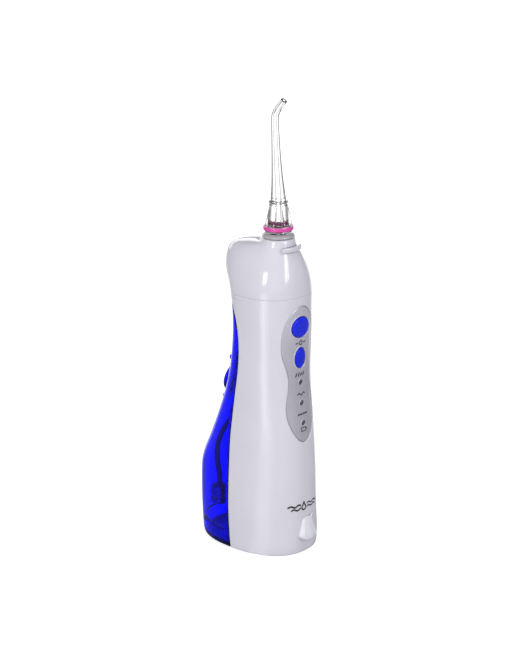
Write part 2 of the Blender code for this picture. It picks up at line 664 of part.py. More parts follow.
def pinion_outline():
    """Spur pinion with 20 degree involute flanks, as (x, y) points round the origin."""
    backlash, flank_steps = 0.16, 2
    pitch_r = MODULE * PINION_TEETH / 2
    base_r = pitch_r * math.cos(math.radians(20))
    tip_r, root_r = pitch_r + MODULE * 0.95, pitch_r - MODULE * 1.25

    def involute(r):
        pressure = math.acos(min(1.0, base_r / r))
        return math.tan(pressure) - pressure

    half = (math.pi * MODULE / 2 - backlash) / 2 / pitch_r + involute(pitch_r)
    start_r = max(base_r, root_r)
    radii = [start_r + (tip_r - start_r) * i / flank_steps for i in range(flank_steps + 1)]
    flank = [(root_r, half + 0.02)] + [(r, half - involute(r)) for r in radii]
    points = []
    for k in range(PINION_TEETH):
        mid = 2 * math.pi * k / PINION_TEETH
        for r, angle in flank:
            points.append((r * math.cos(mid - angle), r * math.sin(mid - angle)))
        for r, angle in reversed(flank):
            points.append((r * math.cos(mid + angle), r * math.sin(mid + angle)))
    return points


def motor_pinion():
    """Pinion on the motor shaft; a gap faces +Y, where the crown's lowest tooth stands."""
    turn = math.radians(90) + math.pi / PINION_TEETH
    s, c = math.sin(turn), math.cos(turn)
    corners = [(DRIVE_X + x * c - y * s, MOTOR_Y + x * s + y * c, 65.4)
               for x, y in pinion_outline()]
    pinion = put("motor_pinion", extruded(corners, (0, 0, 4.9)))
    cut(pinion, rod(1.15, 60, 75, 14, MOTOR_AXIS))
    finish(pinion, BRASS)


def motor_shaft():
    piece("motor_shaft", rod(1.0, MOTOR_Z1 - 1.0, 70.6, 14, MOTOR_AXIS), STEEL)


def crown_gear():
    """Disc on a horizontal axle, with face teeth and the crank pin on its front."""
    rim_r, hub_r, bore_r = CROWN_R + 1.1, 4.0, 1.7
    profile = [
        (0, CROWN_Y), (rim_r, CROWN_Y), (rim_r, CROWN_Y + 2.0), (hub_r, CROWN_Y + 2.0),
        (hub_r, CROWN_Y + 5.0), (bore_r, CROWN_Y + 5.0), (bore_r, CROWN_Y + 1.0),
        (0, CROWN_Y + 1.0)]
    crown = put("crown_gear", turned(profile, 40, GEAR_AXIS, "Y"))
    root_y, tip_y = CROWN_Y + 0.4, CROWN_Y - 1.6
    root_half, tip_half = 0.62, 0.13
    tooth = ((-root_half, root_y), (-tip_half, tip_y), (tip_half, tip_y), (root_half, root_y))
    teeth = bmesh.new()
    for k in range(CROWN_TEETH):
        mid = -math.pi / 2 + 2 * math.pi / CROWN_TEETH * k
        skin(teeth, [
            [(DRIVE_X + r * math.cos(mid + half / CROWN_R), y,
              GEAR_Z + r * math.sin(mid + half / CROWN_R)) for half, y in tooth]
            for r in (CROWN_R - 0.7, CROWN_R + 0.7)])
    join(crown, teeth)
    join(crown, rod(1.5, -3.0, CROWN_Y + 0.5, 16, PIN_AXIS, "Y"))
    finish(crown, ACETAL)


def gear_axle():
    piece("gear_axle", rod(1.5, CROWN_Y + 1.2, 12.8, 16, GEAR_AXIS, "Y"), STEEL)


def connecting_rod():
    """Rod from the crank pin to the piston, at the bottom of the stroke."""
    y0, y1 = CYL_Y - 1.3, CYL_Y + 1.3
    link = put("connecting_rod", rod(3.1, y0, y1, 20, PIN_AXIS, "Y"))
    join(link, block(DRIVE_X - 1.1, DRIVE_X + 1.1, y0 + 0.3, y1 - 0.3, PIN_Z + 2.4, 99.0))
    join(link, rod(1.25, y0, y1, 14, (DRIVE_X, 0, 99.2), "Y"))
    cut(link, rod(1.65, -10, 10, 16, PIN_AXIS, "Y"))
    finish(link, ACETAL)


def piston():
    """Cup over the rod's end, at the bottom of the stroke, and its seal."""
    cup = [(0, 107.0), (4.6, 107.0), (4.6, 97.2), (5.5, 97.2), (5.5, 104.6), (4.9, 104.6),
           (4.9, 106.6), (5.5, 106.6), (5.5, PISTON_TOP_Z), (0, PISTON_TOP_Z)]
    piece("piston", turned(cup, 24, PUMP_AXIS), ACETAL)
    seal = [(5.0, 104.8), (5.65, 104.8), (5.65, 106.4), (5.0, 106.4)]
    piece("piston_seal", turned(seal, 24, PUMP_AXIS, closed=True), RUBBER)


def pump_cylinder():
    profile = [(5.9, 96.0), (9.2, 96.0), (9.2, 98.0), (7.6, 98.0), (7.6, 117.4), (8.6, 117.4),
               (8.6, 119.4), (5.9, 119.4)]
    piece("pump_cylinder", turned(profile, 28, PUMP_AXIS, closed=True), ACETAL)


def pump_head():
    profile = [(1.5, 119.8), (8.6, 119.8), (8.6, 122.0), (6.2, 124.0), (6.2, 128.5),
               (3.2, 130.0), (3.2, 135.0), (1.5, 135.0)]
    head = put("pump_head", turned(profile, 24, PUMP_AXIS, closed=True))
    join(head, rod(2.2, 4.4, 12.0, 16, PUMP_PORT, "X"))
    cut(head, rod(1.2, 3.5, 14.0, 12, PUMP_PORT, "X"))
    finish(head, INNER)


def inlet_valve():
    profile = [(0.5, 117.6), (3.4, 117.6), (3.4, 119.0), (0.5, 119.0)]
    piece("inlet_valve", turned(profile, 18, PUMP_AXIS, closed=True), RUBBER)


def hoses():
    """Inlet hose from the coupling to the pump's side port; outlet hose up to the tip seat."""
    inlet = [
        (COUPLING_X, 9.4, COUPLING_Z), (COUPLING_X, 7.2, 84.4), (8.0, 4.2, 87.6),
        (8.0, 2.6, 95.0), (7.6, 0.0, 110.0), (7.4, CYL_Y, 121.0), (5.6, CYL_Y, 125.2),
        (2.9, CYL_Y, 125.5)]
    tube("inlet_hose", inlet, 1.9, SILICONE)
    outlet = [
        (DRIVE_X, CYL_Y, 135.4), (DRIVE_X, CYL_Y, 146.0), (-5.0, -0.6, 162.0),
        (0.0, 0.0, 172.0), (0.0, 0.0, 177.6)]
    tube("outlet_hose", outlet, 2.8, SILICONE)


# ------------------------------------------------------------------ tip seat, collar, release
def tip_seat():
    """Stepped cup with a bored spigot below and two screw ears."""
    profile = [(1.5, 178.0), (3.0, 178.0), (3.0, 181.0), (8.8, 181.0), (8.8, 183.0),
               (8.0, 183.0), (8.0, 192.0), (6.5, 192.0), (6.5, 184.5), (1.5, 184.5)]
    seat = put("tip_seat", turned(profile, 28, closed=True))
    for side in (-1, 1):
        x0, x1 = sorted((side * 8.0, side * 17.5))
        join(seat, block(x0, x1, -3, 3, 181.0, 183.0))
        cut(seat, rod(1.3, 180, 184, 12, (side * SEAT_SCREW_X, 0, 0)))
    finish(seat, INNER)


def rotating_collar():
    profile = [
        (4.5, TIP_Z), (6.1, TIP_Z), (6.1, 200.6), (7.3, 201.2), (7.3, 204.3), (10.0, 204.3),
        (10.3, 204.8), (9.9, 205.6), (9.2, 206.3), (8.2, 206.8), (7.4, 206.6), (4.5, 205.4)]
    piece("rotating_collar", turned(profile, 36, closed=True), WHITE)


def seat_o_ring():
    profile = [(4.45, 185.2), (5.9, 185.2), (5.9, 186.9), (4.45, 186.9)]
    piece("seat_o_ring", turned(profile, 24, closed=True), RUBBER)


def release_slider():
    """Thumb ledge outside the neck, web through its slot, plate round the collar."""
    # ledge section: radius, height; its two ends shrink towards a point inside the section
    section = ((12.85, 199.9), (13.7, 200.0), (14.35, 199.3), (14.4, 197.4), (13.9, 196.7),
               (13.4, 196.8), (12.85, 198.2))
    end_r, end_z = 13.2, 198.3
    half_angle, steps = 40.0, 9
    sections = []
    for k in range(steps + 1):
        angle = math.radians(-half_angle + 2 * half_angle * k / steps)
        shrink = 0.6 if k in (0, steps) else 0.0
        ring = []
        for r, z in section:
            radius = r - shrink * (r - end_r)
            ring.append((radius * math.sin(angle), -radius * math.cos(angle),
                         end_z + (z - end_z) * (1 - shrink * 0.5)))
        sections.append(ring)
    slider = put("release_slider", skin(bmesh.new(), sections))
    join(slider, sector(8.0, 13.4, 197.3, 199.3, 27.0, 6))
    join(slider, sector(7.9, 9.1, 192.9, 198.6, 30.0, 5))
    plate = put("cutter", rod(8.9, 192.6, 194.2, 36))
    join(plate, block(-6.0, 6.0, 4.0, 14.0, 192.7, 194.1))
    join(plate, block(-3.0, 3.0, 12.6, 14.2, 190.2, 194.1))
    join(slider, plate)
    join(slider, rod(1.1, 13.7, 16.5, 14, (0, 0, SPRING_Z), "Y"))
    # slot round the collar, as long as the travel
    cut(slider, rod(6.5, 190, 195.5, 32))
    cut(slider, rod(6.5, 190, 195.5, 32, (0, -SLIDE_TRAVEL, 0)))
    cut(slider, block(-6.38, 6.38, -SLIDE_TRAVEL, 0, 190, 195.5))
    finish(slider, WHITE)


def release_spring():
    """Coil along Y behind the slider."""
    turns, steps, coil_r, wire_r = 4, 8, 1.7, 0.25
    y0, y1 = 14.7, 19.3
    path = []
    for k in range(turns * steps + 1):
        angle = 2 * math.pi * k / steps
        path.append((coil_r * math.cos(angle), y0 + (y1 - y0) * k / (turns * steps),
                     SPRING_Z + coil_r * math.sin(angle)))
    tube("release_spring", path, wire_r, STEEL, smooth=False)


# ------------------------------------------------------------------ jet tip
# centre line of the nozzle: y, z, outer radius, bore radius, lean to the front in degrees
NOZZLE = [
    (0.0, 227.5, 4.9, 1.5, 0), (0.35, 234.0, 4.2, 1.4, 0), (1.0, 243.0, 3.5, 1.3, 0),
    (1.8, 256.0, 2.9, 1.1, 0), (2.4, 268.0, 2.55, 1.0, 0), (2.7, 276.0, 2.45, 0.95, 3),
    (2.5, 279.2, 2.4, 0.9, 14), (1.2, 282.0, 2.3, 0.85, 28), (-0.8, 284.9, 2.15, 0.8, 36),
]


def bend_loft(discs, sides):
    """Solid through discs given as (y, z, radius, lean)."""
    sections = []
    for y, z, r, lean in discs:
        tilt = math.radians(lean)
        ring = []
        for k in range(sides):
            angle = 2 * math.pi * k / sides
            u, v = r * math.cos(angle), r * math.sin(angle)
            ring.append((u, y + v * math.cos(tilt), z + v * math.sin(tilt)))
        sections.append(ring)
    return loft(sections)


def jet_tip():
    """Clear tube with a grooved flange and a nozzle bent to the front, bored right through."""
    stem = [
        (0, 187.4), (4.1, 187.4), (4.1, 206.6), (7.2, 207.5), (8.6, 208.0), (8.6, 208.6),
        (7.9, 208.6), (7.9, 211.6), (8.7, 211.6), (8.4, 213.6), (5.7, 224.6), (5.7, 227.0),
        (4.9, 227.4), (0, 227.4)]
    outer = [(y, z, r, lean) for y, z, r, _, lean in NOZZLE]
    bore = [(y, z, r, lean) for y, z, _, r, lean in NOZZLE]
    tip = put("jet_tip", turned(stem, 28))
    join(tip, bend_loft([(0.0, 226.6, 4.9, 0)] + outer + [(-4.4, 289.0, 2.05, 36)], 16))
    cut(tip, bend_loft([(0.0, 186.0, 1.6, 0)] + bore + [(-5.6, 290.4, 0.8, 36)], 8))
    finish(tip, CLEAR, 40)


def colour_ring():
    profile = [(8.2, 208.9), (9.3, 208.9), (9.5, 209.5), (9.5, 210.8), (9.3, 211.3),
               (8.2, 211.3)]
    piece("colour_ring", turned(profile, 32, closed=True), PINK, 50)


# ------------------------------------------------------------------ tank
# the lid's own frame: +Z outwards, square to the sloping back wall, +Y up the lid
LID_FRAME = Matrix.Translation(Vector(LID_CENTRE)) @ Matrix((
    (-1, 0, 0),
    (0, -math.sin(LID_TILT), math.cos(LID_TILT)),
    (0, math.cos(LID_TILT), math.sin(LID_TILT)),
)).to_4x4()


def on_lid(bm):
    """Moves a shape from the lid's own frame on to the filler seat."""
    bmesh.ops.transform(bm, matrix=LID_FRAME, verts=bm.verts)
    return bm


def tank_shell():
    tank = put("tank_shell", body_solid(TANK_BASE_Z + GAP, TANK_TOP_Z))
    common(tank, behind_seam(GAP))
    cut(tank, clipped(body_solid(TANK_BASE_Z - 1, 157.0, TANK_WALL),
                      behind_seam(GAP + TANK_WALL)))
    # filler seat: a short round boss
    join(tank, on_lid(rod(11.2, -5.0, 0.4, 28)))
    cut(tank, on_lid(rod(8.2, -9.0, 6.0, 28)))
    cut(tank, on_lid(rod(12.9, 0.0, 8.0, 28)))
    # hinge ears above the seat
    for side in (-1, 1):
        x0, x1 = sorted((side * 7.0, side * 9.2))
        join(tank, on_lid(block(x0, x1, HINGE_Y - HINGE_R, HINGE_Y + HINGE_R, -3.0, HINGE_Z)))
        join(tank, on_lid(rod(HINGE_R, x0, x1, 16, HINGE, "X")))
    cut(tank, on_lid(block(-7.0, 7.0, HINGE_Y - 4.0, HINGE_Y + 2.6, -0.9, 9.0)))
    cut(tank, on_lid(rod(1.1, -12, 12, 14, HINGE, "X")))
    # coupling boss with a stepped bore
    join(tank, rod(6.4, PORT_Y + 0.6, PORT_Y + 7.0, 24, COUPLING, "Y"))
    cut(tank, rod(3.5, PORT_Y - 3, PORT_Y + 9, 24, COUPLING, "Y"))
    cut(tank, rod(5.0, PORT_Y - 3, PORT_Y + 2.2, 24, COUPLING, "Y"))
    finish(tank, TANK, 40)


def tank_base():
    wall = 2.0
    base = put("tank_base", body_solid(0, TANK_BASE_Z))
    common(base, behind_seam(GAP))
    cut(base, clipped(body_solid(2.4, TANK_BASE_Z + 1.0, wall), behind_seam(GAP + wall)))
    finish(base, TANK, 40)


def tank_port_seal():
    profile = [(3.2, PORT_Y + 0.1), (4.7, PORT_Y + 0.1), (4.7, PORT_Y + 1.9),
               (3.2, PORT_Y + 1.9)]
    piece("tank_port_seal", turned(profile, 24, COUPLING, "Y", closed=True), RUBBER)


def suction_spigot():
    profile = [(1.3, 9.9), (2.4, 9.9), (2.4, 12.4), (5.4, 12.4), (5.4, 13.7), (3.0, 13.7),
               (3.0, PORT_Y + 4.5), (1.3, PORT_Y + 4.5)]
    piece("suction_spigot", turned(profile, 24, COUPLING, "Y", closed=True), INNER)


def filler_lid():
    """Round lid with a hinge barrel above and a straight tab below."""
    profile = [(0, -1.3), (6.6, -1.3), (6.6, 0.3), (11.6, 0.3), (12.2, 0.9), (12.0, 1.9),
               (10.2, 2.7), (0, 2.9)]
    lid = put("filler_lid", on_lid(turned(profile, 32)))
    join(lid, on_lid(block(-6.6, 6.6, 9.4, HINGE_Y, 0.5, 2.0)))
    join(lid, on_lid(rod(HINGE_R, -6.6, 6.6, 16, HINGE, "X")))
    join(lid, on_lid(block(-8.0, 8.0, -15.4, -10.0, 1.0, 3.2)))
    cut(lid, on_lid(rod(1.1, -12, 12, 14, HINGE, "X")))
    cut(lid, on_lid(rod(1.6, -11, 11, 14, (0, 10.4, 3.4), "X")))
    finish(lid, TANK, 40)


def lid_hinge_pin():
    piece("lid_hinge_pin", on_lid(rod(0.85, -9.0, 9.0, 14, HINGE, "X")), STEEL)


def filler_seal():
    profile = [(6.8, -1.1), (7.7, -1.1), (7.7, 0.0), (6.8, 0.0)]
    piece("filler_seal", on_lid(turned(profile, 28, closed=True)), RUBBER)


def suction_tube():
    path = [
        (COUPLING_X, PORT_Y + 7.4, COUPLING_Z), (7.0, 30.0, 83.8), (1.5, 36.0, 80.0),
        (-4.5, 41.0, 72.5), (-8.5, 44.0, 62.0), (-9.0, 45.0, 50.0),
        (STRAINER_X, STRAINER_Y, 38.0), (STRAINER_X, STRAINER_Y, 32.4)]
    tube("suction_tube", path, 1.7, SILICONE)


def strainer_weight():
    """Grooved weight at the end of the suction tube."""
    profile = [
        (0, STRAINER_Z), (5.6, STRAINER_Z), (6.3, 19.4), (6.3, 22.0), (5.3, 22.6), (5.3, 24.0),
        (6.3, 24.6), (6.3, 27.0), (5.3, 27.6), (5.3, 28.8), (6.1, 29.4), (5.8, 30.6),
        (2.6, 31.2), (2.6, 32.0), (0, 32.0)]
    piece("strainer_weight", turned(profile, 24, (STRAINER_X, STRAINER_Y, 0)), STEEL)


# ------------------------------------------------------------------ fasteners
def screw(name, at, turn, length, r, head_r):
    """Pan-head screw, head's underside at at; its shank runs along +Z, turned about X."""
    profile = [(0, -1.15), (head_r - 0.4, -1.15), (head_r, -0.7), (head_r, 0), (r, 0),
               (r, length), (0, length)]
    bm = turned(profile, 12)
    rotation = Matrix.Rotation(math.radians(turn), 4, "X")
    bmesh.ops.transform(bm, matrix=rotation, verts=bm.verts)
    bmesh.ops.translate(bm, vec=at, verts=bm.verts)
    piece(name, bm, STEEL)


def screws():
    up, forward, down = 0, 90, 180
    for i, (x, y, _) in enumerate(BASE_SCREWS, 1):
        screw(f"base_screw_{i}", (x, y, 1.45), up, length=7.0, r=1.25, head_r=2.3)
    for i, (x, z, _) in enumerate(REAR_SCREWS, 1):
        at = (x, seam_y(z) - 2.15, z)
        screw(f"rear_panel_screw_{i}", at, forward, length=11.0, r=1.1, head_r=2.0)
    for i, x in enumerate(MOTOR_SCREW_X, 1):
        screw(f"motor_screw_{i}", (x, MOTOR_Y, 64.1), down, length=6.4, r=1.0, head_r=1.8)
    for i, x in enumerate((-SEAT_SCREW_X, SEAT_SCREW_X), 1):
        screw(f"seat_screw_{i}", (x, 0, 180.9), up, length=7.0, r=1.05, head_r=2.0)


# ------------------------------------------------------------------ placing
POWER_AT = (0, front_y(POWER_KEY[0]), POWER_KEY[0])
MODE_AT = (0, front_y(MODE_KEY[0]), MODE_KEY[0])
SHAFT_AT = (DRIVE_X, MOTOR_Y, MOTOR_Z1)
PISTON_AT = (DRIVE_X, CYL_Y, PISTON_TOP_Z)
TIP_AT = (0, 0, TIP_Z)
COVER_AT = (0, COVER_Y, CHARGE_Z)
HINGE_AT = LID_FRAME @ Vector(HINGE)
# group: its place, pieces with their origin there, pieces with an origin of their own
GROUPS = {
    "handle_assembly": (
        (0, 0, 0),
        ("front_housing", "head_cover", "rear_panel", "base_cover", "control_panel",
         *LAMP_HEIGHTS, "control_board", "power_switch", "mode_switch", "battery_cell",
         "charging_socket", "suction_spigot", "tank_port_seal", "inlet_hose", "outlet_hose"),
        {}),
    "key_guides": (MODE_AT, ("mode_button",), {"power_button": POWER_AT}),
    "pump_assembly": (
        GEAR_AXIS,
        ("inner_frame", "drive_motor", "pump_cylinder", "pump_head", "inlet_valve",
         "gear_axle", "crown_gear"),
        {"motor_shaft": SHAFT_AT, "motor_pinion": SHAFT_AT, "connecting_rod": PIN_AXIS,
         "piston": PISTON_AT, "piston_seal": PISTON_AT}),
    "tip_assembly": (
        TIP_AT,
        ("tip_seat", "seat_o_ring", "rotating_collar", "jet_tip", "colour_ring"),
        {"release_slider": SLIDER_PIVOT, "release_spring": (0, 14.2, SPRING_Z)}),
    "tank_assembly": (
        (0, seam_y(0.0), 0),
        ("tank_shell", "tank_base", "suction_tube"),
        {"strainer_weight": (STRAINER_X, STRAINER_Y, STRAINER_Z), "lid_hinge_pin": HINGE_AT,
         "filler_lid": HINGE_AT, "filler_seal": HINGE_AT}),
    "charging_cover_mount": (COVER_AT, ("charging_cover",), {}),
}


def place_pieces():
    """Hangs the pieces under their groups and sets moving ones on their joint's axis."""
    for group, (at, fixed, own_origin) in GROUPS.items():
        holder = link_object(group, None)
        holder.empty_display_size = 0.01
        holder.location = Vector(at) * MM
        for name, pivot in ({n: at for n in fixed} | own_origin).items():
            ob = bpy.data.objects[name]
            home = Vector(pivot) * MM
            ob.data.transform(Matrix.Translation(-home))
            ob.parent = holder
            ob.location = home - Vector(at) * MM


for build in (
    front_housing, head_cover, rear_panel, base_cover, control_panel, keys, lamps,
    control_board, switches, battery_cell, charging_socket, charging_cover, inner_frame,
    drive_motor, motor_pinion, motor_shaft, crown_gear, gear_axle, connecting_rod, piston,
    pump_cylinder, pump_head, inlet_valve, hoses, tip_seat, rotating_collar, seat_o_ring,
    release_slider, release_spring, jet_tip, colour_ring, tank_shell, tank_base,
    tank_port_seal, suction_spigot, filler_lid, lid_hinge_pin, filler_seal, suction_tube,
    strainer_weight, screws, place_pieces,
):
    build()
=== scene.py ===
"""Hand-held water jet with a clear blue tank, standing upright on a pale studio floor.

The casing stands along +Z with its control panel facing -Y. The tank is on the +Y side, and
the clear jet tip rises from the head. Shapes are drawn in millimetres and scaled to metres
when they become objects; materials, floor, lights and camera are in metres.
"""

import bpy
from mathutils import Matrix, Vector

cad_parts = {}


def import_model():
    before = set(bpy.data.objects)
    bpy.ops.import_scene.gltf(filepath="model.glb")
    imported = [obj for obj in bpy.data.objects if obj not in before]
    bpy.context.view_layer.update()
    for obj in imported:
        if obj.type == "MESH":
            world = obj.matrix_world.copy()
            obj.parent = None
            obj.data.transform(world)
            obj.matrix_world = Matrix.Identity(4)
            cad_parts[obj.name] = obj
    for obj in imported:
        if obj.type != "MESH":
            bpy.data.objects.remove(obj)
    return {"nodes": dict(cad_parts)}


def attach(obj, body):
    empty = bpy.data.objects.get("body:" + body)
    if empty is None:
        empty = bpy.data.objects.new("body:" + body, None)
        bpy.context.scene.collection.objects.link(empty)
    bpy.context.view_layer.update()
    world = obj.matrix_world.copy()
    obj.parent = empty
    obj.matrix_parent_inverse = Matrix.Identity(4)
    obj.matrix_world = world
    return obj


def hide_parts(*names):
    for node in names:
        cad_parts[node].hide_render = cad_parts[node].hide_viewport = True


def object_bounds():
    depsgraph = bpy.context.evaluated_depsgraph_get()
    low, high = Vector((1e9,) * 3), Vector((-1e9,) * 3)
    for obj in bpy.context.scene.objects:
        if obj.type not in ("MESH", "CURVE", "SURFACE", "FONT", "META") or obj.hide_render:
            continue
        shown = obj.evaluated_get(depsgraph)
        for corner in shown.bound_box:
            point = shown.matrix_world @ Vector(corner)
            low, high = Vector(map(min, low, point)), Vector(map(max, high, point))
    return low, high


CAD_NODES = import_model()["nodes"]

import math

import bmesh
import bpy
import numpy as np
from mathutils import Matrix, Vector

CAD_BOX = [list(corner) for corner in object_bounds()]
MM = 0.001

# ---------------------------------------------------------------- driving dimensions (mm)
WALL, TANK_WALL, TANK_BASE_WALL = 2.0, 1.8, 2.0
GAP = 0.3              # clearance between fitted pieces
TANK_SEAM_GAP = 0.25   # from the seam line to the tank's front wall
TANK_BASE_TOP = 11.0
SECTION_POWER = 2.35   # exponent of the casing's rounded section

# casing below the head: height, half width, y of the widest line, front y, back y
STATIONS = [
    (-2, 28.2, 16.5, -23.0, 54.8), (0, 28.2, 16.5, -23.0, 54.8), (3, 28.6, 16.6, -23.7, 55.7),
    (12, 28.6, 17.0, -24.0, 56.6), (25, 28.5, 17.5, -23.6, 57.3), (40, 28.0, 17.5, -23.4, 57.8),
    (50, 27.5, 17.3, -23.4, 57.3), (58, 27.0, 16.9, -23.2, 54.6), (70, 26.2, 16.0, -22.7, 48.6),
    (85, 25.2, 14.0, -21.6, 42.0), (100, 24.4, 12.0, -20.0, 36.0),
    (115, 24.0, 10.5, -18.9, 31.2), (130, 24.0, 10.0, -18.6, 28.1),
    (145, 24.2, 9.5, -19.0, 26.4), (158, 24.3, 8.5, -19.0, 27.2), (165, 24.2, 8.0, -19.0, 28.6),
    (171, 24.0, 8.0, -18.9, 30.2), (176, 23.2, 7.8, -18.5, 32.6), (181, 22.0, 7.5, -17.6, 35.8),
]
# sloping head: front height, back height, half width, widest y, front y, back y, exponent
HEAD_STATIONS = [
    (185.5, 187.0, 20.3, 7.5, -16.4, 37.4, 2.35), (189.5, 191.9, 18.2, 7.5, -15.1, 37.3, 2.35),
    (192.7, 195.7, 16.2, 7.0, -13.9, 35.9, 2.35), (195.4, 198.3, 14.2, 5.4, -12.8, 31.8, 2.3),
    (197.8, 199.9, 12.4, 2.6, -11.7, 23.0, 2.2), (199.8, 201.1, 11.2, 0.8, -11.0, 14.2, 2.1),
    (203.0, 203.0, 10.4, 0.0, -10.4, 10.4, 2.0), (204.0, 204.0, 9.3, 0.0, -9.3, 9.3, 2.0),
]
# seam between handle and tank, in the side view: z, y
SEAM = [
    (-3, 16.4), (0, 16.5), (12, 17.5), (30, 18.4), (55, 18.6), (75, 18.5), (90, 17.3),
    (105, 15.7), (120, 13.5), (132, 12.5), (142, 12.8), (150, 14.2), (156, 16.4),
    (160, 19.0), (163, 22.6), (165, 28.0), (166, 34.0),
]
# outline of the control panel from the top down: z, half width
PANEL = [
    (163.0, 0.0), (162.3, 3.3), (160.4, 6.7), (156.8, 10.0), (151.5, 12.4), (145.0, 13.75),
    (138.0, 14.05), (131.0, 13.2), (124.5, 11.2), (119.0, 9.9), (114.0, 9.55), (108.5, 10.3),
    (103.0, 11.5), (97.0, 12.1), (91.0, 11.7), (85.0, 9.9), (80.0, 7.4), (76.5, 4.5),
    (74.9, 2.2), (74.5, 0.0),
]
PANEL_SINK = 0.5                                          # depth below the casing's surface
POWER_KEY, MODE_KEY = (149.5, 7.6, 6.4), (129.5, 4.6, 6.45)  # z, half width, half height
LAMP_HEIGHTS, LAMP_RADIUS = (113.5, 100.0, 87.0), 1.65
BOARD_FRONT, BUTTON_TRAVEL = -12.0, 0.8
COUPLING = (8.0, 0.0, 84.0)                               # axis of the tank port, along Y
LID_TILT, LID_CENTRE = math.radians(16.0), (0.0, 34.0, 106.5)
HINGE = (0, 15.0, 1.9)                                    # hinge axis in the lid's own frame
SLIDE_TRAVEL = 1.0
SOCKET_Z = 17.0


# ---------------------------------------------------------------- curves
def curve_at(table, x, column=1):
    """Smooth curve through a table of (x, value...) rows."""
    if x <= table[0][0]:
        return table[0][column]
    if x >= table[-1][0]:
        return table[-1][column]
    i = next(k for k in range(len(table) - 1) if table[k][0] <= x <= table[k + 1][0])

    def slope(k):
        before, after = table[max(k - 1, 0)], table[min(k + 1, len(table) - 1)]
        return (after[column] - before[column]) / (after[0] - before[0])

    step = table[i + 1][0] - table[i][0]
    t = (x - table[i][0]) / step
    start, end = table[i][column], table[i + 1][column]
    leave, arrive = slope(i) * step, slope(i + 1) * step
    return (
        (2 * t**3 - 3 * t * t + 1) * start + (t**3 - 2 * t * t + t) * leave
        + (3 * t * t - 2 * t**3) * end + (t**3 - t * t) * arrive
    )


def smooth01(t):
    t = np.clip(t, 0, 1)
    return t * t * (3 - 2 * t)


def arc_length(points):
    """Length along a 2-D line at each of its points."""
    return np.r_[0, np.cumsum(np.hypot(*np.diff(points, axis=0).T))]


def outline_loop(points, count):
    """Even points along a closed 2-D outline."""
    closed = np.vstack([points, points[:1]])
    arc = arc_length(closed)
    marks = np.arange(count) * arc[-1] / count
    return np.stack([np.interp(marks, arc, values) for values in closed.T], 1)


def grow_loop(loop, distance):
    """A closed even 2-D loop moved outwards, whichever way round it runs."""
    after = np.roll(loop, -1, 0)
    area = 0.5 * np.sum(loop[:, 0] * after[:, 1] - after[:, 0] * loop[:, 1])
    tangent = after - np.roll(loop, 1, 0)
    tangent /= np.maximum(np.hypot(tangent[:, 0], tangent[:, 1]), 1e-9)[:, None]
    normal = np.stack([tangent[:, 1], -tangent[:, 0]], 1) * (1 if area > 0 else -1)
    return loop + normal * distance


def fillet(points, radii, steps=5, closed=False):
    """Rounds the corners of a 2-D outline; radii is one value or one per point."""
    rounded, count = [], len(points)
    for i, point in enumerate(points):
        radius = radii[i] if isinstance(radii, list) else radii
        if radius <= 0 or (not closed and i in (0, count - 1)):
            rounded.append(tuple(point))
            continue
        corner = Vector(point)
        back, ahead = Vector(points[i - 1]) - corner, Vector(points[(i + 1) % count]) - corner
        back_length, ahead_length = back.length, ahead.length
        back.normalize()
        ahead.normalize()
        angle = back.angle(ahead)
        if angle > math.pi - 0.05 or angle < 0.05:
            rounded.append(tuple(point))
            continue
        trim = min(radius / math.tan(angle / 2), back_length * 0.48, ahead_length * 0.48)
        radius = trim * math.tan(angle / 2)
        centre = corner + (back + ahead).normalized() * (radius / math.sin(angle / 2))
        start, end = corner + back * trim - centre, corner + ahead * trim - centre
        sweep = start.angle_signed(end)
        for k in range(steps + 1):
            cos, sin = math.cos(-sweep * k / steps), math.sin(-sweep * k / steps)
            rounded.append((centre.x + start.x * cos - start.y * sin,
                            centre.y + start.x * sin + start.y * cos))
    return rounded


# ---------------------------------------------------------------- the casing's surface
# front height, rise towards the back, half width, widest y, front y, back y, exponent
PROFILE = [(z, 0.0, *shape, SECTION_POWER) for z, *shape in STATIONS]
PROFILE += [(front, back - front, *shape) for front, back, *shape in HEAD_STATIONS]
LEVELS = np.arange(-2.0, 204.001, 0.05)
LEVEL_SHAPES = [
    np.array([curve_at(PROFILE, level, column) for level in LEVELS]) for column in range(1, 7)
]


def casing_at(level):
    """Rise, half width, widest y, front y, back y and exponent at a front height."""
    return [np.interp(level, LEVELS, values) for values in LEVEL_SHAPES]


def superellipse(shape, level, turn, inset=0.0):
    """Points of a sloping section, moved inwards by inset; turn runs round from the front."""
    rise, half, widest, front, back, power = shape
    sine, cosine = np.sin(turn), np.cos(turn)
    x = (half - inset) * np.sign(sine) * np.abs(sine) ** (2 / power)
    reach = np.where(cosine > 0, widest - front - inset, back - widest - inset)
    y = widest - reach * np.sign(cosine) * np.abs(cosine) ** (2 / power)
    return np.stack([x, y, level + rise * ((y - front) / (back - front))], -1)


def section(level, turn, inset=0.0):
    """Points of the casing's outer surface, moved inwards by inset."""
    level, turn, inset = np.broadcast_arrays(level, turn, inset)
    return superellipse(casing_at(level), level, turn, inset)


def turn_at(z, y, inset):
    """Turn at which the section at height z, below the head, passes y."""
    _, _, widest, front, back, power = casing_at(z)
    ahead = np.clip((widest - y) / (widest - front - inset), 0, 1) ** (power / 2)
    behind = np.clip((y - widest) / (back - widest - inset), 0, 1) ** (power / 2)
    return np.arccos(np.where(y < widest, ahead, -behind))


def front_y(z, x=0.0):
    _, half, widest, front, _, power = casing_at(z)
    bulge = np.maximum(0.0, 1 - (np.abs(x) / half) ** power) ** (1 / power)
    return widest - (widest - front) * bulge


def on_front(outline, depth):
    """An (x, z) outline laid on the casing's front, moved in by depth."""
    x, z = outline.T
    return np.stack([x, front_y(z, x) + depth, z], 1)


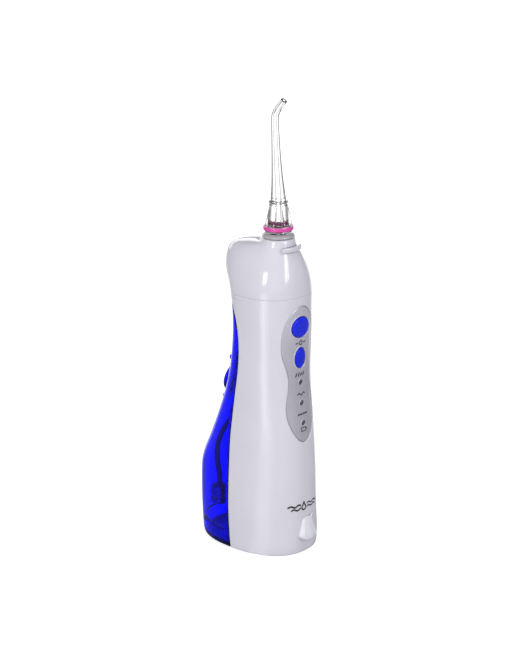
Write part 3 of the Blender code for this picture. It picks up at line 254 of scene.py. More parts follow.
def wall_x(y, z, inset):
    """Half width of the casing at (y, z), moved inwards, and y kept on the section."""
    _, half, _, _, back, power = casing_at(z)
    y = np.minimum(y, back - inset)
    turn = turn_at(z, y, inset)
    return float((half - inset) * np.abs(np.sin(turn)) ** (2 / power)), float(y)


SEAM_Z = np.arange(-0.02, 165.6, 0.02)
SEAM_Y = np.array([curve_at(SEAM, z) for z in SEAM_Z])
SEAM_TOP = float(SEAM_Z[np.argmax(SEAM_Y >= casing_at(SEAM_Z)[4])])


def seam_rows(start, step_low=2.3, step_high=0.75, stop=SEAM_TOP):
    """Rows along the seam, closer where it turns: y, z, unit normal (y, z) to the handle."""
    keep = (SEAM_Z >= start - 1e-6) & (SEAM_Z <= stop + 1e-6)
    y, z = SEAM_Y[keep], SEAM_Z[keep]
    arc = arc_length(np.stack([y, z], 1))
    marks = [0.0]
    while marks[-1] < arc[-1]:
        height = np.interp(marks[-1], arc, z)
        step = step_low + (step_high - step_low) * smooth01((height - 125) / 30)
        marks.append(min(marks[-1] + step, arc[-1]))
    if len(marks) > 2 and marks[-1] - marks[-2] < 0.3:
        marks.pop(-2)
    marks = np.array(marks)
    reach = 0.4
    along_y, along_z = [
        np.interp(marks + reach, arc, values) - np.interp(marks - reach, arc, values)
        for values in (y, z)
    ]
    length = np.hypot(along_y, along_z)
    return list(zip(np.interp(marks, arc, y), np.interp(marks, arc, z),
                    -along_z / length, along_y / length))


def spread(heights, bend, end):
    """Keeps rising heights up to the first above bend, then spaces the rest evenly to end."""
    first = next(i for i, z in enumerate(heights) if z > bend)
    low, rest = heights[first], len(heights) - 1 - first
    return [z if i <= first else low + (end - low) * (i - first) / rest
            for i, z in enumerate(heights)]


# ---------------------------------------------------------------- mesh helpers
def from_arrays(verts, faces, weld=1.5e-4):
    """bmesh from vertex rows and index faces."""
    shell = bmesh.new()
    made = [shell.verts.new(point) for point in np.asarray(verts, float).tolist()]
    for face in faces:
        shell.faces.new([made[i] for i in face])
    bmesh.ops.remove_doubles(shell, verts=shell.verts, dist=weld)
    bmesh.ops.dissolve_degenerate(shell, edges=shell.edges, dist=weld * 0.5)
    bmesh.ops.recalc_face_normals(shell, faces=shell.faces)
    return shell


def loft(rings, wrap=False, weld=1.5e-4):
    """Closed rings joined in order; capped at the ends, or wrapped into a ring of rings."""
    size, count = len(rings[0]), len(rings)
    faces = []
    for j in range(count if wrap else count - 1):
        low, high = j * size, ((j + 1) % count) * size
        for k in range(size):
            after = (k + 1) % size
            faces.append((low + k, low + after, high + after, high + k))
    if not wrap:
        faces.append(tuple(range(size)))
        faces.append(tuple(range((count - 1) * size, count * size)))
    return from_arrays(np.concatenate([np.asarray(ring, float) for ring in rings]), faces, weld)


AXIS_TURNS = {
    "Z": Matrix.Identity(4),
    "Y": Matrix.Rotation(math.radians(-90), 4, "X"),
    "X": Matrix.Rotation(math.radians(90), 4, "Y"),
}


def moved(shell, matrix):
    bmesh.ops.transform(shell, matrix=matrix, verts=shell.verts)
    return shell


def turned(profile, sides=64, centre=(0, 0, 0), axis="Z", closed=False, radii=0.0, steps=4):
    """Solid of revolution of (radius, height) points, with its corners rounded."""
    turn = np.arange(sides) * 2 * math.pi / sides
    rings = [
        np.stack([radius * np.cos(turn), radius * np.sin(turn), np.full(sides, float(height))], 1)
        for radius, height in fillet(profile, radii, steps, closed)
    ]
    return moved(loft(rings, wrap=closed, weld=1e-4),
                 Matrix.Translation(centre) @ AXIS_TURNS[axis])


def rod(radius, low, high, sides=48, centre=(0, 0, 0), axis="Z", edge=0.0):
    profile = [(0, low), (radius, low), (radius, high), (0, high)]
    return turned(profile, sides, centre, axis, radii=[0, edge, edge, 0])


def pillow(outline, low, high, edge, steps=4, place=lambda u, v, height: (u, v, height)):
    """A 2-D outline given a thickness, with rounded edges. place maps to a 3-D point."""
    angles = [math.pi / 2 * k / steps for k in range(steps + 1)]
    rows = [(-edge * (1 - math.sin(a)), low + edge * (1 - math.cos(a))) for a in angles]
    rows += [(-edge * (1 - math.cos(a)), high - edge * (1 - math.sin(a))) for a in angles]
    outline = np.array(outline)
    return loft([[place(u, v, height) for u, v in grow_loop(outline, growth)]
                 for growth, height in rows])


def slab(x_low, x_high, y_low, y_high, z_low, z_high, edge, corner):
    """Block with rounded corners and edges."""
    corners = [(x_low, y_low), (x_high, y_low), (x_high, y_high), (x_low, y_high)]
    return pillow(fillet(corners, corner, 5, True), z_low, z_high, edge)


def to_object(shell, name="work", scale=MM):
    bmesh.ops.scale(shell, vec=(scale, scale, scale), verts=shell.verts)
    mesh = bpy.data.meshes.new(name)
    shell.to_mesh(mesh)
    shell.free()
    made = bpy.data.objects.new(name, mesh)
    bpy.context.scene.collection.objects.link(made)
    return made


def merged(shells):
    """Several closed shells as one bmesh."""
    whole = bmesh.new()
    for shell in shells:
        mesh = bpy.data.meshes.new("part")
        shell.to_mesh(mesh)
        shell.free()
        whole.from_mesh(mesh)
        bpy.data.meshes.remove(mesh)
    return whole


def is_manifold(target):
    shell = bmesh.new()
    shell.from_mesh(target.data)
    sound = all(edge.is_manifold for edge in shell.edges)
    shell.free()
    return sound


def boolean(target, shell, operation):
    tool = to_object(shell)
    solver = "MANIFOLD" if is_manifold(target) and is_manifold(tool) else "EXACT"
    # the exact solver is the fallback where the first leaves almost nothing
    for attempt in (solver, "EXACT"):
        modifier = target.modifiers.new("boolean", "BOOLEAN")
        modifier.operation, modifier.object, modifier.solver = operation, tool, attempt
        bpy.context.view_layer.update()
        graph = bpy.context.evaluated_depsgraph_get()
        made = bpy.data.meshes.new_from_object(target.evaluated_get(graph), depsgraph=graph)
        target.modifiers.clear()
        if len(made.polygons) > 3:
            break
    clean = bmesh.new()
    clean.from_mesh(made)
    bmesh.ops.remove_doubles(clean, verts=clean.verts, dist=3e-7)
    bmesh.ops.dissolve_degenerate(clean, edges=clean.edges, dist=2e-7)
    clean.to_mesh(made)
    clean.free()
    old = target.data
    target.data = made
    bpy.data.meshes.remove(old)
    bpy.data.objects.remove(tool)


def combine(shape, tools, operation):
    """Applies the tools in order to an object, or to a bmesh that becomes one."""
    target = shape if isinstance(shape, bpy.types.Object) else to_object(shape)
    for tool in tools:
        boolean(target, tool, operation)
    return target


def cut(shape, *tools):
    return combine(shape, tools, "DIFFERENCE")


def join(shape, *tools):
    return combine(shape, tools, "UNION")


def joined_shell(*shells):
    """The union of shells, as a bmesh in mm again."""
    whole = join(*shells)
    shell = bmesh.new()
    shell.from_mesh(whole.data)
    bmesh.ops.scale(shell, vec=(1 / MM, 1 / MM, 1 / MM), verts=shell.verts)
    bpy.data.objects.remove(whole)
    return shell


def piece(name, body, slot, material, shape, *stands_for, angle=38):
    """Names, paints and mounts a finished shape; edges sharper than angle stay sharp."""
    made = shape if isinstance(shape, bpy.types.Object) else to_object(shape, name)
    made.name = made.data.name = name
    made.data.materials.clear()
    made.data.materials.append(material)
    made.data.shade_smooth()
    made.data.set_sharp_from_angle(angle=math.radians(angle))
    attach(made, body)
    if stands_for:
        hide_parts(*stands_for)


# ---------------------------------------------------------------- shader helpers
class Shader:
    """Builds the node tree of a material or a world."""

    def __init__(self, owner):
        owner.use_nodes = True
        self.owner, self.tree = owner, owner.node_tree
        self.tree.nodes.clear()
        self.coords = self.add("TexCoord").outputs

    def add(self, kind, inputs=None, **settings):
        """Adds a node. Each input is a value, or a socket to link from."""
        node = self.tree.nodes.new("ShaderNode" + kind)
        for key, value in settings.items():
            setattr(node, key, value)
        for key, value in (inputs or {}).items():
            if isinstance(value, bpy.types.NodeSocket):
                self.tree.links.new(value, node.inputs[key])
            else:
                node.inputs[key].default_value = value
        return node

    def noise(self, scale, detail=3.0, vector=None):
        inputs = {"Scale": scale, "Detail": detail, "Vector": vector or self.coords["Object"]}
        return self.add("TexNoise", inputs).outputs["Fac"]

    def ramp(self, factor, stops):
        """Colour ramp; a stop is a position and a colour or a grey."""
        node = self.add("ValToRGB", {0: factor})
        stops = [(position, (*(value if isinstance(value, tuple) else (value,) * 3), 1))
                 for position, value in stops]
        elements = node.color_ramp.elements
        elements[0].position, elements[0].color = stops[0]
        elements[1].position, elements[1].color = stops[-1]
        for position, colour in stops[1:-1]:
            elements.new(position).color = colour
        return node.outputs[0]

    def two_tone(self, factor, dark, light):
        return self.ramp(factor, [(0.3, dark), (0.7, light)])

    def remap(self, value, low=0.0, high=1.0, start=0.0, end=1.0, **settings):
        """Maps start..end to low..high."""
        inputs = {"Value": value, "From Min": start, "From Max": end,
                  "To Min": low, "To Max": high}
        return self.add("MapRange", inputs, **settings).outputs[0]

    def math(self, operation, *values, clamp=False):
        node = self.add("Math", dict(enumerate(values)), operation=operation, use_clamp=clamp)
        return node.outputs[0]

    def vector(self, operation, *values):
        node = self.add("VectorMath", dict(enumerate(values)), operation=operation)
        single = operation in ("DOT_PRODUCT", "LENGTH")
        return node.outputs["Value" if single else "Vector"]

    def axes(self, vector):
        return self.add("SeparateXYZ", {0: vector}).outputs

    def mix(self, factor, first, second, blend="MIX"):
        inputs = {"Factor": factor, "A": first, "B": second}
        return self.add("Mix", inputs, data_type="RGBA", blend_type=blend).outputs["Result"]

    def times(self, first, second):
        return self.mix(1.0, first, second, "MULTIPLY")

    def facing(self, blend):
        return self.add("LayerWeight", {"Blend": blend}).outputs["Facing"]

    def bump(self, height, strength, distance, normal=None):
        inputs = {"Strength": strength, "Distance": distance, "Height": height}
        if normal:
            inputs["Normal"] = normal
        return self.add("Bump", inputs).outputs[0]

    def finish(self, inputs):
        """Closes a material with a principled surface."""
        surface = self.add("BsdfPrincipled", inputs)
        self.add("OutputMaterial", {"Surface": surface.outputs[0]})
        return self.owner


def new_material(name):
    return Shader(bpy.data.materials.new(name))


def shade(colour, factor):
    return tuple(min(1.0, max(0.0, value * factor)) for value in colour)


# ---------------------------------------------------------------- material families
def plastic(name, colour, rough, drift, grain, grain_height, wave=0.0, metallic=0.0, coat=0.0,
            edge_shade_stops=None):
    """Moulded plastic: faint colour drift, fine grain, slight unevenness of the gloss."""
    look = new_material(name)
    base = look.two_tone(look.noise(38.0, 2.0), shade(colour, 1 - drift),
                         shade(colour, 1 + drift))
    # optional painted shade, darker towards the edges where the surface turns away
    if edge_shade_stops:
        base = look.times(base, look.ramp(look.facing(0.5), edge_shade_stops))
    waves = look.bump(look.noise(120.0, 1.0), 1.0, wave) if wave else None
    return look.finish({
        "Base Color": base,
        "Roughness": look.remap(look.noise(260.0), rough * 0.86, rough * 1.14),
        "Normal": look.bump(look.noise(grain, 2.0), 0.5, grain_height, waves),
        "Metallic": metallic,
        "Coat Weight": coat,
        "Coat Roughness": 0.08,
    })


def metal(name, colour, rough, stretch=(1.0, 1.0, 1.0)):
    """Bare metal; stretch scales the grain along each axis."""
    look = new_material(name)
    place = look.add("Mapping", {"Vector": look.coords["Object"], "Scale": stretch})
    grain = look.noise(900.0, 4.0, place.outputs[0])
    return look.finish({
        "Base Color": look.two_tone(grain, shade(colour, 0.88), shade(colour, 1.08)),
        "Roughness": look.remap(grain, rough * 0.75, rough * 1.3),
        "Normal": look.bump(grain, strength=0.3, distance=1e-5),
        "Metallic": 1.0,
    })


# half width of the tank's front edge by height, both in mm
TANK_EDGE = [
    (z, wall_x(curve_at(SEAM, z), z, 0.0)[0])
    for z in (0.0, 12.0, 30.0, 55.0, 75.0, 90.0, 105.0, 120.0, 132.0, 142.0, 150.0, 156.0)
]


def seam_edge_shade(look, colour):
    """Painted shade: darkens the faces towards -Y that lie near the tank's sides, along the seam.
    """
    ramp_top, unit = 170.0, 40.0  # mm
    place = look.axes(look.coords["Object"])
    height = look.remap(place["Z"], end=ramp_top * MM)
    half = look.ramp(height, [(z / ramp_top, width / unit) for z, width in TANK_EDGE])
    across = look.math("DIVIDE", look.math("ABSOLUTE", place["X"]), unit * MM)
    near = look.remap(look.math("SUBTRACT", across, half), start=-3.5 / unit, end=-2.8 / unit)
    forward = look.math("MULTIPLY", look.axes(look.coords["Normal"])["Y"], -1.0)
    amount = look.math("MULTIPLY", near, look.remap(forward, start=0.45, end=0.75))
    return look.ramp(amount, [(0.0, 1), (1.0, colour)])


def clear(name, colour, rough, ior, drift, flow, edge_on_shade, inner=0.0, edge=None, foot=None):
    """Clear moulded plastic with slight flow marks.

    Its edge-on ramp darkens it where it is seen edge on, as painted shade; inner is the share of
    that painted shade seen through other clear faces. edge and foot are painted shade on its front
    side faces near the seam and on its lowest part.
    """
    look = new_material(name)
    base = look.two_tone(look.noise(30.0, 2.0), shade(colour, 1 - drift),
                         shade(colour, 1 + drift))
    facing, ray = look.facing(0.5), look.add("LightPath").outputs
    share = look.math("MULTIPLY_ADD", ray["Is Transmission Ray"], inner, ray["Is Camera Ray"],
                      clamp=True)
    # painted shade: darker where the surface is seen edge on, from the camera and, by inner,
    # through other clear faces
    base = look.times(base, look.ramp(look.math("MULTIPLY", facing, share), edge_on_shade))
    # painted shade on the tank's front side faces along the seam
    if edge:
        base = look.times(base, seam_edge_shade(look, edge))
    # painted shade on the lowest part, where it stands on the floor
    if foot:
        height = look.remap(look.axes(look.coords["Object"])["Z"], end=0.01)
        base = look.times(base, look.ramp(height, [(0.0, foot), (0.15, foot), (0.21, 1)]))
    return look.finish({
        "Base Color": base,
        "Roughness": look.remap(look.noise(200.0, 2.0), rough * 0.6, rough * 1.4),
        "Normal": look.bump(look.noise(140.0, 1.0), 0.5, flow),
        "Transmission Weight": 1.0,
        "IOR": ior,
    })


def silver_paint():
    """Silver-grey paint with fine flake, and painted light that makes it a little lighter towards
    the keys at its top.
    """
    look = new_material("panel_silver")
    cells = look.add("TexVoronoi", {"Scale": 5200.0, "Vector": look.coords["Object"]})
    grey = look.add("RGBToBW", {0: cells.outputs["Color"]}).outputs[0]
    flake = look.ramp(grey, [(0.0, (0.430, 0.422, 0.475)), (0.8, (0.500, 0.490, 0.545)),
                             (1.0, (0.64, 0.63, 0.69))])
    position = look.add("NewGeometry").outputs["Position"]
    # painted light: the base colour grows lighter towards the top of the panel
    height = look.remap(look.axes(position)["Z"], start=0.115, end=0.165)
    return look.finish({
        "Base Color": look.times(flake, look.ramp(height, [(0.0, 1.0), (1.0, (1.30, 1.30, 1.34))])),
        "Roughness": look.remap(grey, 0.30, 0.44),
        "Metallic": 0.45,
        "Coat Weight": 0.55,
        "Coat Roughness": 0.20,
        "Normal": look.bump(look.noise(1500.0, 2.0), strength=0.4, distance=8e-6),
    })


def key_blue():
    """Saturated blue, with painted shade that makes it darker where the key turns away."""
    look = new_material("key_blue")
    face = look.two_tone(look.noise(90.0, 2.0), (0.005, 0.014, 0.610), (0.007, 0.020, 0.680))
    # painted shade towards the key's edges
    away = look.ramp(look.facing(0.35), [(0.45, 0), (0.95, 1)])
    return look.finish({
        "Base Color": look.mix(away, face, (0.006, 0.009, 0.30, 1)),
        "Roughness": look.remap(look.noise(400.0, 2.0), 0.30, 0.42),
        "Specular IOR Level": 0.24,
        "Normal": look.bump(look.noise(1600.0, 2.0), strength=0.5, distance=1.4e-5),
    })


def board_green():
    """Circuit board: green mask over a fine pattern of tracks."""
    look = new_material("board_green")
    upright = (math.radians(90), 0, 0)
    place = look.add("Mapping", {"Rotation": upright, "Vector": look.coords["Object"]})
    tracks = look.add("TexBrick", {
        "Scale": 420.0,
        "Mortar Size": 0.035,
        "Color1": (0.010, 0.125, 0.040, 1),
        "Color2": (0.012, 0.150, 0.050, 1),
        "Mortar": (0.050, 0.280, 0.100, 1),
        "Vector": place.outputs[0],
    }).outputs
    return look.finish({
        "Base Color": tracks["Color"],
        "Roughness": look.remap(look.noise(500.0), 0.28, 0.42),
        "Normal": look.bump(tracks["Fac"], strength=0.3, distance=3e-5),
    })


def sleeve_green():
    """Shrink sleeve of the cell, with a lighter band near its end."""
    look = new_material("cell_sleeve")
    green, band = (0.035, 0.20, 0.16), (0.55, 0.56, 0.55)
    height = look.remap(look.axes(look.coords["Object"])["Z"], end=0.075)
    stops = [(0.0, green), (0.78, (0.040, 0.23, 0.18)), (0.80, band), (0.86, band), (0.88, green)]
    return look.finish({
        "Base Color": look.ramp(height, stops),
        "Roughness": look.remap(look.noise(300.0), 0.24, 0.38),
        "Normal": look.bump(look.noise(700.0), strength=0.3, distance=2e-5),
    })


# ---------------------------------------------------------------- materials
WHITE = (0.585, 0.577, 0.642)
# plastics: name, colour, roughness, colour drift, grain scale, grain height (m)
CASING = plastic("casing_white", WHITE, 0.115, 0.015, 2200.0, 2e-6, wave=4e-6)
SLIDER = plastic("slider_white", shade(WHITE, 0.98), 0.16, 0.02, 2200.0, 3e-6)
# white-lavender collar, a bit darker than the casing, painted further into grey as shade under the
# ring and as a painted reflection of darker surroundings
COLLAR_SHADED_WHITE = plastic("collar_white_shaded", (0.355, 0.345, 0.370), 0.20, 0.02, 1900.0, 5e-6)
INNER_WHITE = plastic("inner_white", (0.60, 0.595, 0.64), 0.36, 0.03, 1500.0, 1.2e-5)
SOFT_WHITE = plastic("cover_white", (0.640, 0.640, 0.705), 0.38, 0.02, 1700.0, 1e-5)
FRAME = plastic("frame_grey", (0.50, 0.50, 0.49), 0.50, 0.04, 1400.0, 2e-5)
ACETAL = plastic("acetal", (0.74, 0.72, 0.66), 0.40, 0.03, 1600.0, 1e-5)
RUBBER = plastic("rubber_black", (0.018, 0.018, 0.020), 0.62, 0.15, 1100.0, 3e-5)
BLACK = plastic("plastic_black", (0.022, 0.022, 0.025), 0.45, 0.12, 1500.0, 2e-5)
SILICONE = plastic("silicone", (0.70, 0.70, 0.72), 0.42, 0.03, 1300.0, 1e-5)
PINK = plastic("ring_pink", (0.62, 0.060, 0.34), 0.26, 0.04, 1800.0, 6e-6, coat=0.2)
# hose with painted shade that darkens it towards its edges
HOSE = plastic("hose_smoke", (0.30, 0.30, 0.36), 0.30, 0.08, 1300.0, 1e-5,
               edge_shade_stops=[(0.15, 1), (0.45, 0.12), (1.0, 0.03)])
PRINT = plastic("print_dark", (0.030, 0.029, 0.034), 0.55, 0.25, 3000.0, 1e-5)
STEEL = metal("steel", (0.60, 0.60, 0.62), rough=0.28)
BRASS = metal("brass", (0.70, 0.50, 0.20), rough=0.32)
MOTOR_CAN = metal("motor_can", (0.56, 0.56, 0.58), rough=0.30, stretch=(1.0, 1.0, 14.0))
PANEL_SILVER, KEY_BLUE, BOARD, SLEEVE = silver_paint(), key_blue(), board_green(), sleeve_green()
# clear tip, with painted shade at its outlines and bore where they are seen edge on
TIP_CLEAR = clear("tip_clear", (0.99, 0.99, 0.985), rough=0.002, ior=1.49, drift=0.006,
                  flow=5e-7, inner=0.90,
                  edge_on_shade=((0.06, 1.0), (0.18, 0.78), (0.30, 0.42), (0.45, 0.20), (1.0, 0.05)))
LAMP = plastic("lamp_lens", (0.055, 0.055, 0.065), 0.12, 0.2, 1500.0, 6e-6, coat=0.5)
BEZEL = plastic("bezel_silver", (0.60, 0.59, 0.66), 0.24, 0.03, 2200.0, 6e-6, metallic=0.35)
# blue tank, base and lid, each with painted shade where it is seen edge on
TANK_BLUE = clear("tank_blue", (0.0065, 0.0028, 0.820), rough=0.012, ior=1.27, drift=0.05,
                  flow=3e-6, edge_on_shade=((0.50, 1.0), (0.78, 0.62), (1.0, 0.12)),
                  # painted shade along the seam edges
                  edge=(0.02, 0.02, 0.09))
TANK_BASE_BLUE = clear("tank_base_blue", (0.0070, 0.0030, 0.975), rough=0.02, ior=1.27,
                       drift=0.04, flow=3e-6, edge_on_shade=((0.60, 1.0), (0.85, 0.60), (1.0, 0.15)),
                       # painted shade along the seam edges and at the foot
                       edge=(0.02, 0.02, 0.09), foot=(0.02, 0.02, 0.06))
LID_BLUE = clear("lid_blue", (0.0040, 0.0025, 0.800), rough=0.02, ior=1.45, drift=0.03,
                 flow=3e-6, edge_on_shade=((0.35, 1.0), (0.7, 0.45), (1.0, 0.06)))


# ---------------------------------------------------------------- front housing
def front_housing():
    """Front shell: outer and inner skins joined by a rounded rim along the seam."""
    columns, margin = 150, 1.5
    # rim between the skins: distance from the seam, inset
    rim = [(1.05, 0.0), (0.72, 0.03), (0.44, 0.13), (0.22, 0.30), (0.07, 0.52),
           (0.0, 0.80), (0.0, 1.25), (0.12, 1.6), (0.5, WALL)]
    # rounded foot: z, inset
    foot = [(0.0, 1.0), (0.07, 0.66), (0.27, 0.33), (0.60, 0.08)]
    # rounded top: z, inset
    top = [(167.4, 0), (168.2, 0), (168.62, 0.0), (168.78, 0.04), (168.9, 0.14), (168.95, 0.3)]
    rows = [(curve_at(SEAM, z), z, -1.0, 0.0, inset) for z, inset in foot]
    rows += [(*row, 0.0) for row in seam_rows(1.0)]
    rows[-1] = (*rows[-1][:2], 0.0, 1.0, 0.0)
    front_heights = spread([row[1] for row in rows], 138, rows[-1][1] + margin)
    across = np.linspace(-1, 1, columns + 1)
    outer, inner, rims = [], [], []
    for row, z_front in zip(rows, front_heights):
        y, z, normal_y, normal_z, inset = row
        y_side, z_side = y + margin * normal_y, z + margin * normal_z
        heights = z_front + (z_side - z_front) * smooth01(np.abs(across))
        for depth, skin in ((inset, outer), (WALL, inner)):
            turn = math.pi if row is rows[-1] else turn_at(z_side, y_side, depth)
            skin.append(section(heights, across * turn, depth))
        layer = []
        for distance, step_in in rim:
            depth = inset + step_in * (WALL - inset) / WALL
            z_rim = z + distance * normal_z
            layer.append((*wall_x(y + distance * normal_y, z_rim, depth), z_rim))
        rims.append(layer)
    for z, inset in top:
        outer.append(section(np.full(columns + 1, z), across * math.pi, inset))
        inner.append(section(np.full(columns + 1, z), across * math.pi, WALL))

    blocks = (outer, inner, rims, np.multiply(rims, (-1, 1, 1)))
    verts = np.concatenate([np.reshape(block, (-1, 3)) for block in blocks])
    width, count, layers = columns + 1, len(outer), len(rim)
    inner_at = count * width
    faces = []
    for k in range(count - 1):
        for i in range(k * width, k * width + columns):
            above = i + width
            faces.append((i, i + 1, above + 1, above))
            faces.append((inner_at + i, inner_at + above, inner_at + above + 1, inner_at + i + 1))
    for k in (0, count - 1):
        for i in range(k * width, k * width + columns):
            faces.append((i, inner_at + i, inner_at + i + 1, i + 1))
    right_at = 2 * inner_at
    for column, start in ((columns, right_at), (0, right_at + len(rows) * layers)):
        strips = [
            (k * width + column, *range(start + k * layers, start + (k + 1) * layers),
             inner_at + k * width + column)
            for k in range(len(rows))
        ]
        for low, high in zip(strips, strips[1:]):
            for j in range(layers + 1):
                faces.append((low[j], low[j + 1], high[j + 1], high[j]))
        faces.append(strips[0])
    return from_arrays(verts, faces)


def front_cutter(loop, stations, sink=0.0):
    """Cutter that follows the casing's front. stations: depth below it, outline growth."""
    return loft([on_front(grow_loop(loop, growth), sink + depth) for depth, growth in stations],
                weld=1e-5)


def panel_loop():
    """Even outline of the control panel in x and z."""
    top, bottom = PANEL[0][0], PANEL[-1][0]
    rising = [(-z, half) for z, half in PANEL]
    sides = [(curve_at(rising, -z), z) for z in np.linspace(top, bottom, 260)
             if bottom + 0.25 < z < top - 0.1]
    right = [(0.0, top)] + sides + [(0.0, bottom)]
    loop = outline_loop(right + [(-x, z) for x, z in right[-2:0:-1]], 150)
    for _ in range(3):
        loop = (np.roll(loop, 1, 0) + 2 * loop + np.roll(loop, -1, 0)) / 4
    return loop


def socket_loop(radius=3.4, count=64):
    turns = np.arange(count) * 2 * math.pi / count
    return np.stack([radius * np.cos(turns), SOCKET_Z + radius * np.sin(turns)], 1)


PANEL_LOOP = panel_loop()
# rounded openings: depth, growth
PANEL_OPENING = [(-6, 1.25), (-0.6, 1.25), (0.0, 1.02), (0.05, 0.74), (0.16, 0.5),
                 (0.33, 0.34), (0.6, 0.26), (6, 0.26)]
SOCKET_OPENING = [(-4, 0.35), (0.0, 0.35), (0.1, 0.1), (0.35, 0.0), (6, 0.0)]
casing_front = cut(front_housing(), front_cutter(PANEL_LOOP, PANEL_OPENING),
                   front_cutter(socket_loop(), SOCKET_OPENING))
piece("casing_front", "handle", "white_shell", CASING, casing_front, "front_housing", angle=32)


# ---------------------------------------------------------------- head cover
def head_cover():
    """Sloping head: up the outside, over the round mouth and down the inside."""
    sides = 168
    turn = np.arange(sides) * 2 * math.pi / sides

    def casing_rings(rows):
        return [section(np.full(sides, float(level)), turn, inset) for level, inset in rows]

    # front height, inset
    foot = [(169.02, 0.17), (169.05, 0.07), (169.12, 0.015), (169.24, 0.0)]
    levels = np.r_[np.arange(170.5, 180, 1.6), np.arange(180, 202.2, 0.9), 202.3]
    # mouth: radius, z
    mouth = [
        (10.47, 202.75), (10.36, 203.15), (10.13, 203.55), (9.78, 203.84), (9.3, 203.98),
        (8.9, 203.94), (8.62, 203.75), (8.45, 203.4), (8.2, 202.4), (7.95, 201.4),
        (7.78, 200.7), (7.85, 200.35), (8.2, 200.2), (9.0, 200.15), (9.3, 199.9), (9.3, 197.4),
    ]
    # cavity: front height, rise, half width, widest y, front y, back y, exponent
    cavity = [
        (196.2, 2.0, 10.9, 3.5, -9.4, 20.0, 2.2), (193.0, 2.8, 13.2, 5.5, -11.2, 30.0, 2.3),
        (189.0, 2.6, 16.0, 7.0, -12.9, 34.6, 2.3), (185.0, 1.6, 18.3, 7.5, -14.4, 35.3, 2.35),
    ]
    # inner wall with the step that sits in the housing: front height, inset
    skirt = [
        (181, WALL), (176, WALL), (173.6, WALL), (172.0, 3.5), (170.0, 3.6), (166.7, 3.6),
        (166.6, 3.3), (166.6, 2.5), (166.8, 2.3), (168.9, 2.3), (169.05, 2.2),
    ]
    rings = casing_rings(foot + [(level, 0.0) for level in levels])
    rings += [np.stack([radius * np.sin(turn), -radius * np.cos(turn), np.full(sides, z)], 1)
              for radius, z in mouth]
    rings += [superellipse(shape, level, turn) for level, *shape in cavity]
    return loft(rings + casing_rings(skirt), wrap=True)


casing_head = cut(head_cover(), slab(-6.7, 6.7, -18.0, -5.0, 196.9, 199.7, 0.02, 0.3))
piece("casing_head", "handle", "white_shell", CASING, casing_head, "head_cover", angle=32)


# ---------------------------------------------------------------- tank shell and base
def tank_rings(rows, wall, corner):
    """Rings of the tank: round the back from -x to +x, then across the front wall.

    rows: seam y, z, normal y, normal z, edge rounding, height at the back.
    """
    arc_steps, wall_steps, corner_steps = 110, 26, 5
    across = np.linspace(-1, 1, arc_steps + 1)
    distance = TANK_SEAM_GAP + wall
    rings = []
    for y, z, normal_y, normal_z, rounding, z_back in rows:
        reach, inset = distance + corner + rounding, wall + rounding
        z_side = z - reach * normal_z
        turn = turn_at(z_side, y - reach * normal_y, inset)
        heights = z_back + (z_side - z_back) * smooth01(np.abs(across))
        arc = section(heights, math.pi - across * (math.pi - turn), inset)
        side = []
        for k in range(1, corner_steps + 1):
            angle = math.pi / 2 * k / corner_steps
            push = distance + rounding + corner * (1 - math.sin(angle))
            depth = inset + corner * (1 - math.cos(angle))
            z_corner = z - push * normal_z
            side.append((*wall_x(y - push * normal_y, z_corner, depth), z_corner))
        x_end, y_end, z_end = side[-1]
        front = [(x_end * (1 - 2 * k / wall_steps), y_end, z_end) for k in range(1, wall_steps)]
        mirrored = [(-x, y_side, height) for x, y_side, height in side[::-1]]
        rings.append([*arc, *side, *front, *mirrored])
    return rings


def tank_shell():
    """Closed top of the tank, one skin: down the inside, round the rim, up the outside."""
    rows = [(curve_at(SEAM, z), z, -1.0, 0.0, rounding)
            for z, rounding in ((11.3, 0.28), (11.38, 0.08))]
    rows += [(*row, 0.0) for row in seam_rows(TANK_BASE_TOP + GAP + 0.35, 2.6, 0.8)]

    def skin(y_limit, bend, z_top, wall, corner):
        """Rings up to the narrow crest where the seam passes y_limit."""
        kept = [row for row in rows if row[0] < y_limit]
        backs = spread([row[1] for row in kept], bend, z_top)
        return tank_rings([(*row, back) for row, back in zip(kept, backs)], wall, corner)

    outer = skin(y_limit=26.0, bend=148, z_top=164.55, wall=0.0, corner=0.8)
    inner = skin(y_limit=21.0, bend=140, z_top=161.5, wall=TANK_WALL, corner=0.9)
    return loft(inner[::-1] + outer)


def tank_base():
    """Shallow tray under the tank, with a rounded foot."""
    # z, edge rounding
    outside = [(0.0, 1.5), (0.1, 1.0), (0.35, 0.55), (0.8, 0.2), (1.4, 0.02), (3.0, 0.0),
               (5.5, 0.0), (8.0, 0.0), (10.2, 0.0), (10.75, 0.03), (10.93, 0.14), (11.0, 0.34)]
    inside = [(11.0, 0.0), (10.6, 0.0), (8.0, 0.0), (5.0, 0.0), (3.3, 0.05), (2.65, 0.35),
              (2.4, 1.0)]

    def skin(table, wall, corner):
        rows = [(curve_at(SEAM, z), z, -1.0, 0.0, rounding, z) for z, rounding in table]
        return tank_rings(rows, wall, corner)

    return loft(skin(outside, 0.0, 0.8) + skin(inside, TANK_BASE_WALL, 0.9))


# the lid's frame: x across, y up the tank's back, z outwards
LID_FRAME = Matrix.Translation(Vector(LID_CENTRE)) @ Matrix((
    (-1, 0, 0),
    (0, -math.sin(LID_TILT), math.cos(LID_TILT)),
    (0, math.cos(LID_TILT), math.sin(LID_TILT)),
)).to_4x4()
COUPLING_Y = curve_at(SEAM, COUPLING[2]) + GAP


def on_lid(shell):
    return moved(shell, LID_FRAME)


def hinge_bore():
    return on_lid(rod(1.1, -12, 12, 24, HINGE, "X"))


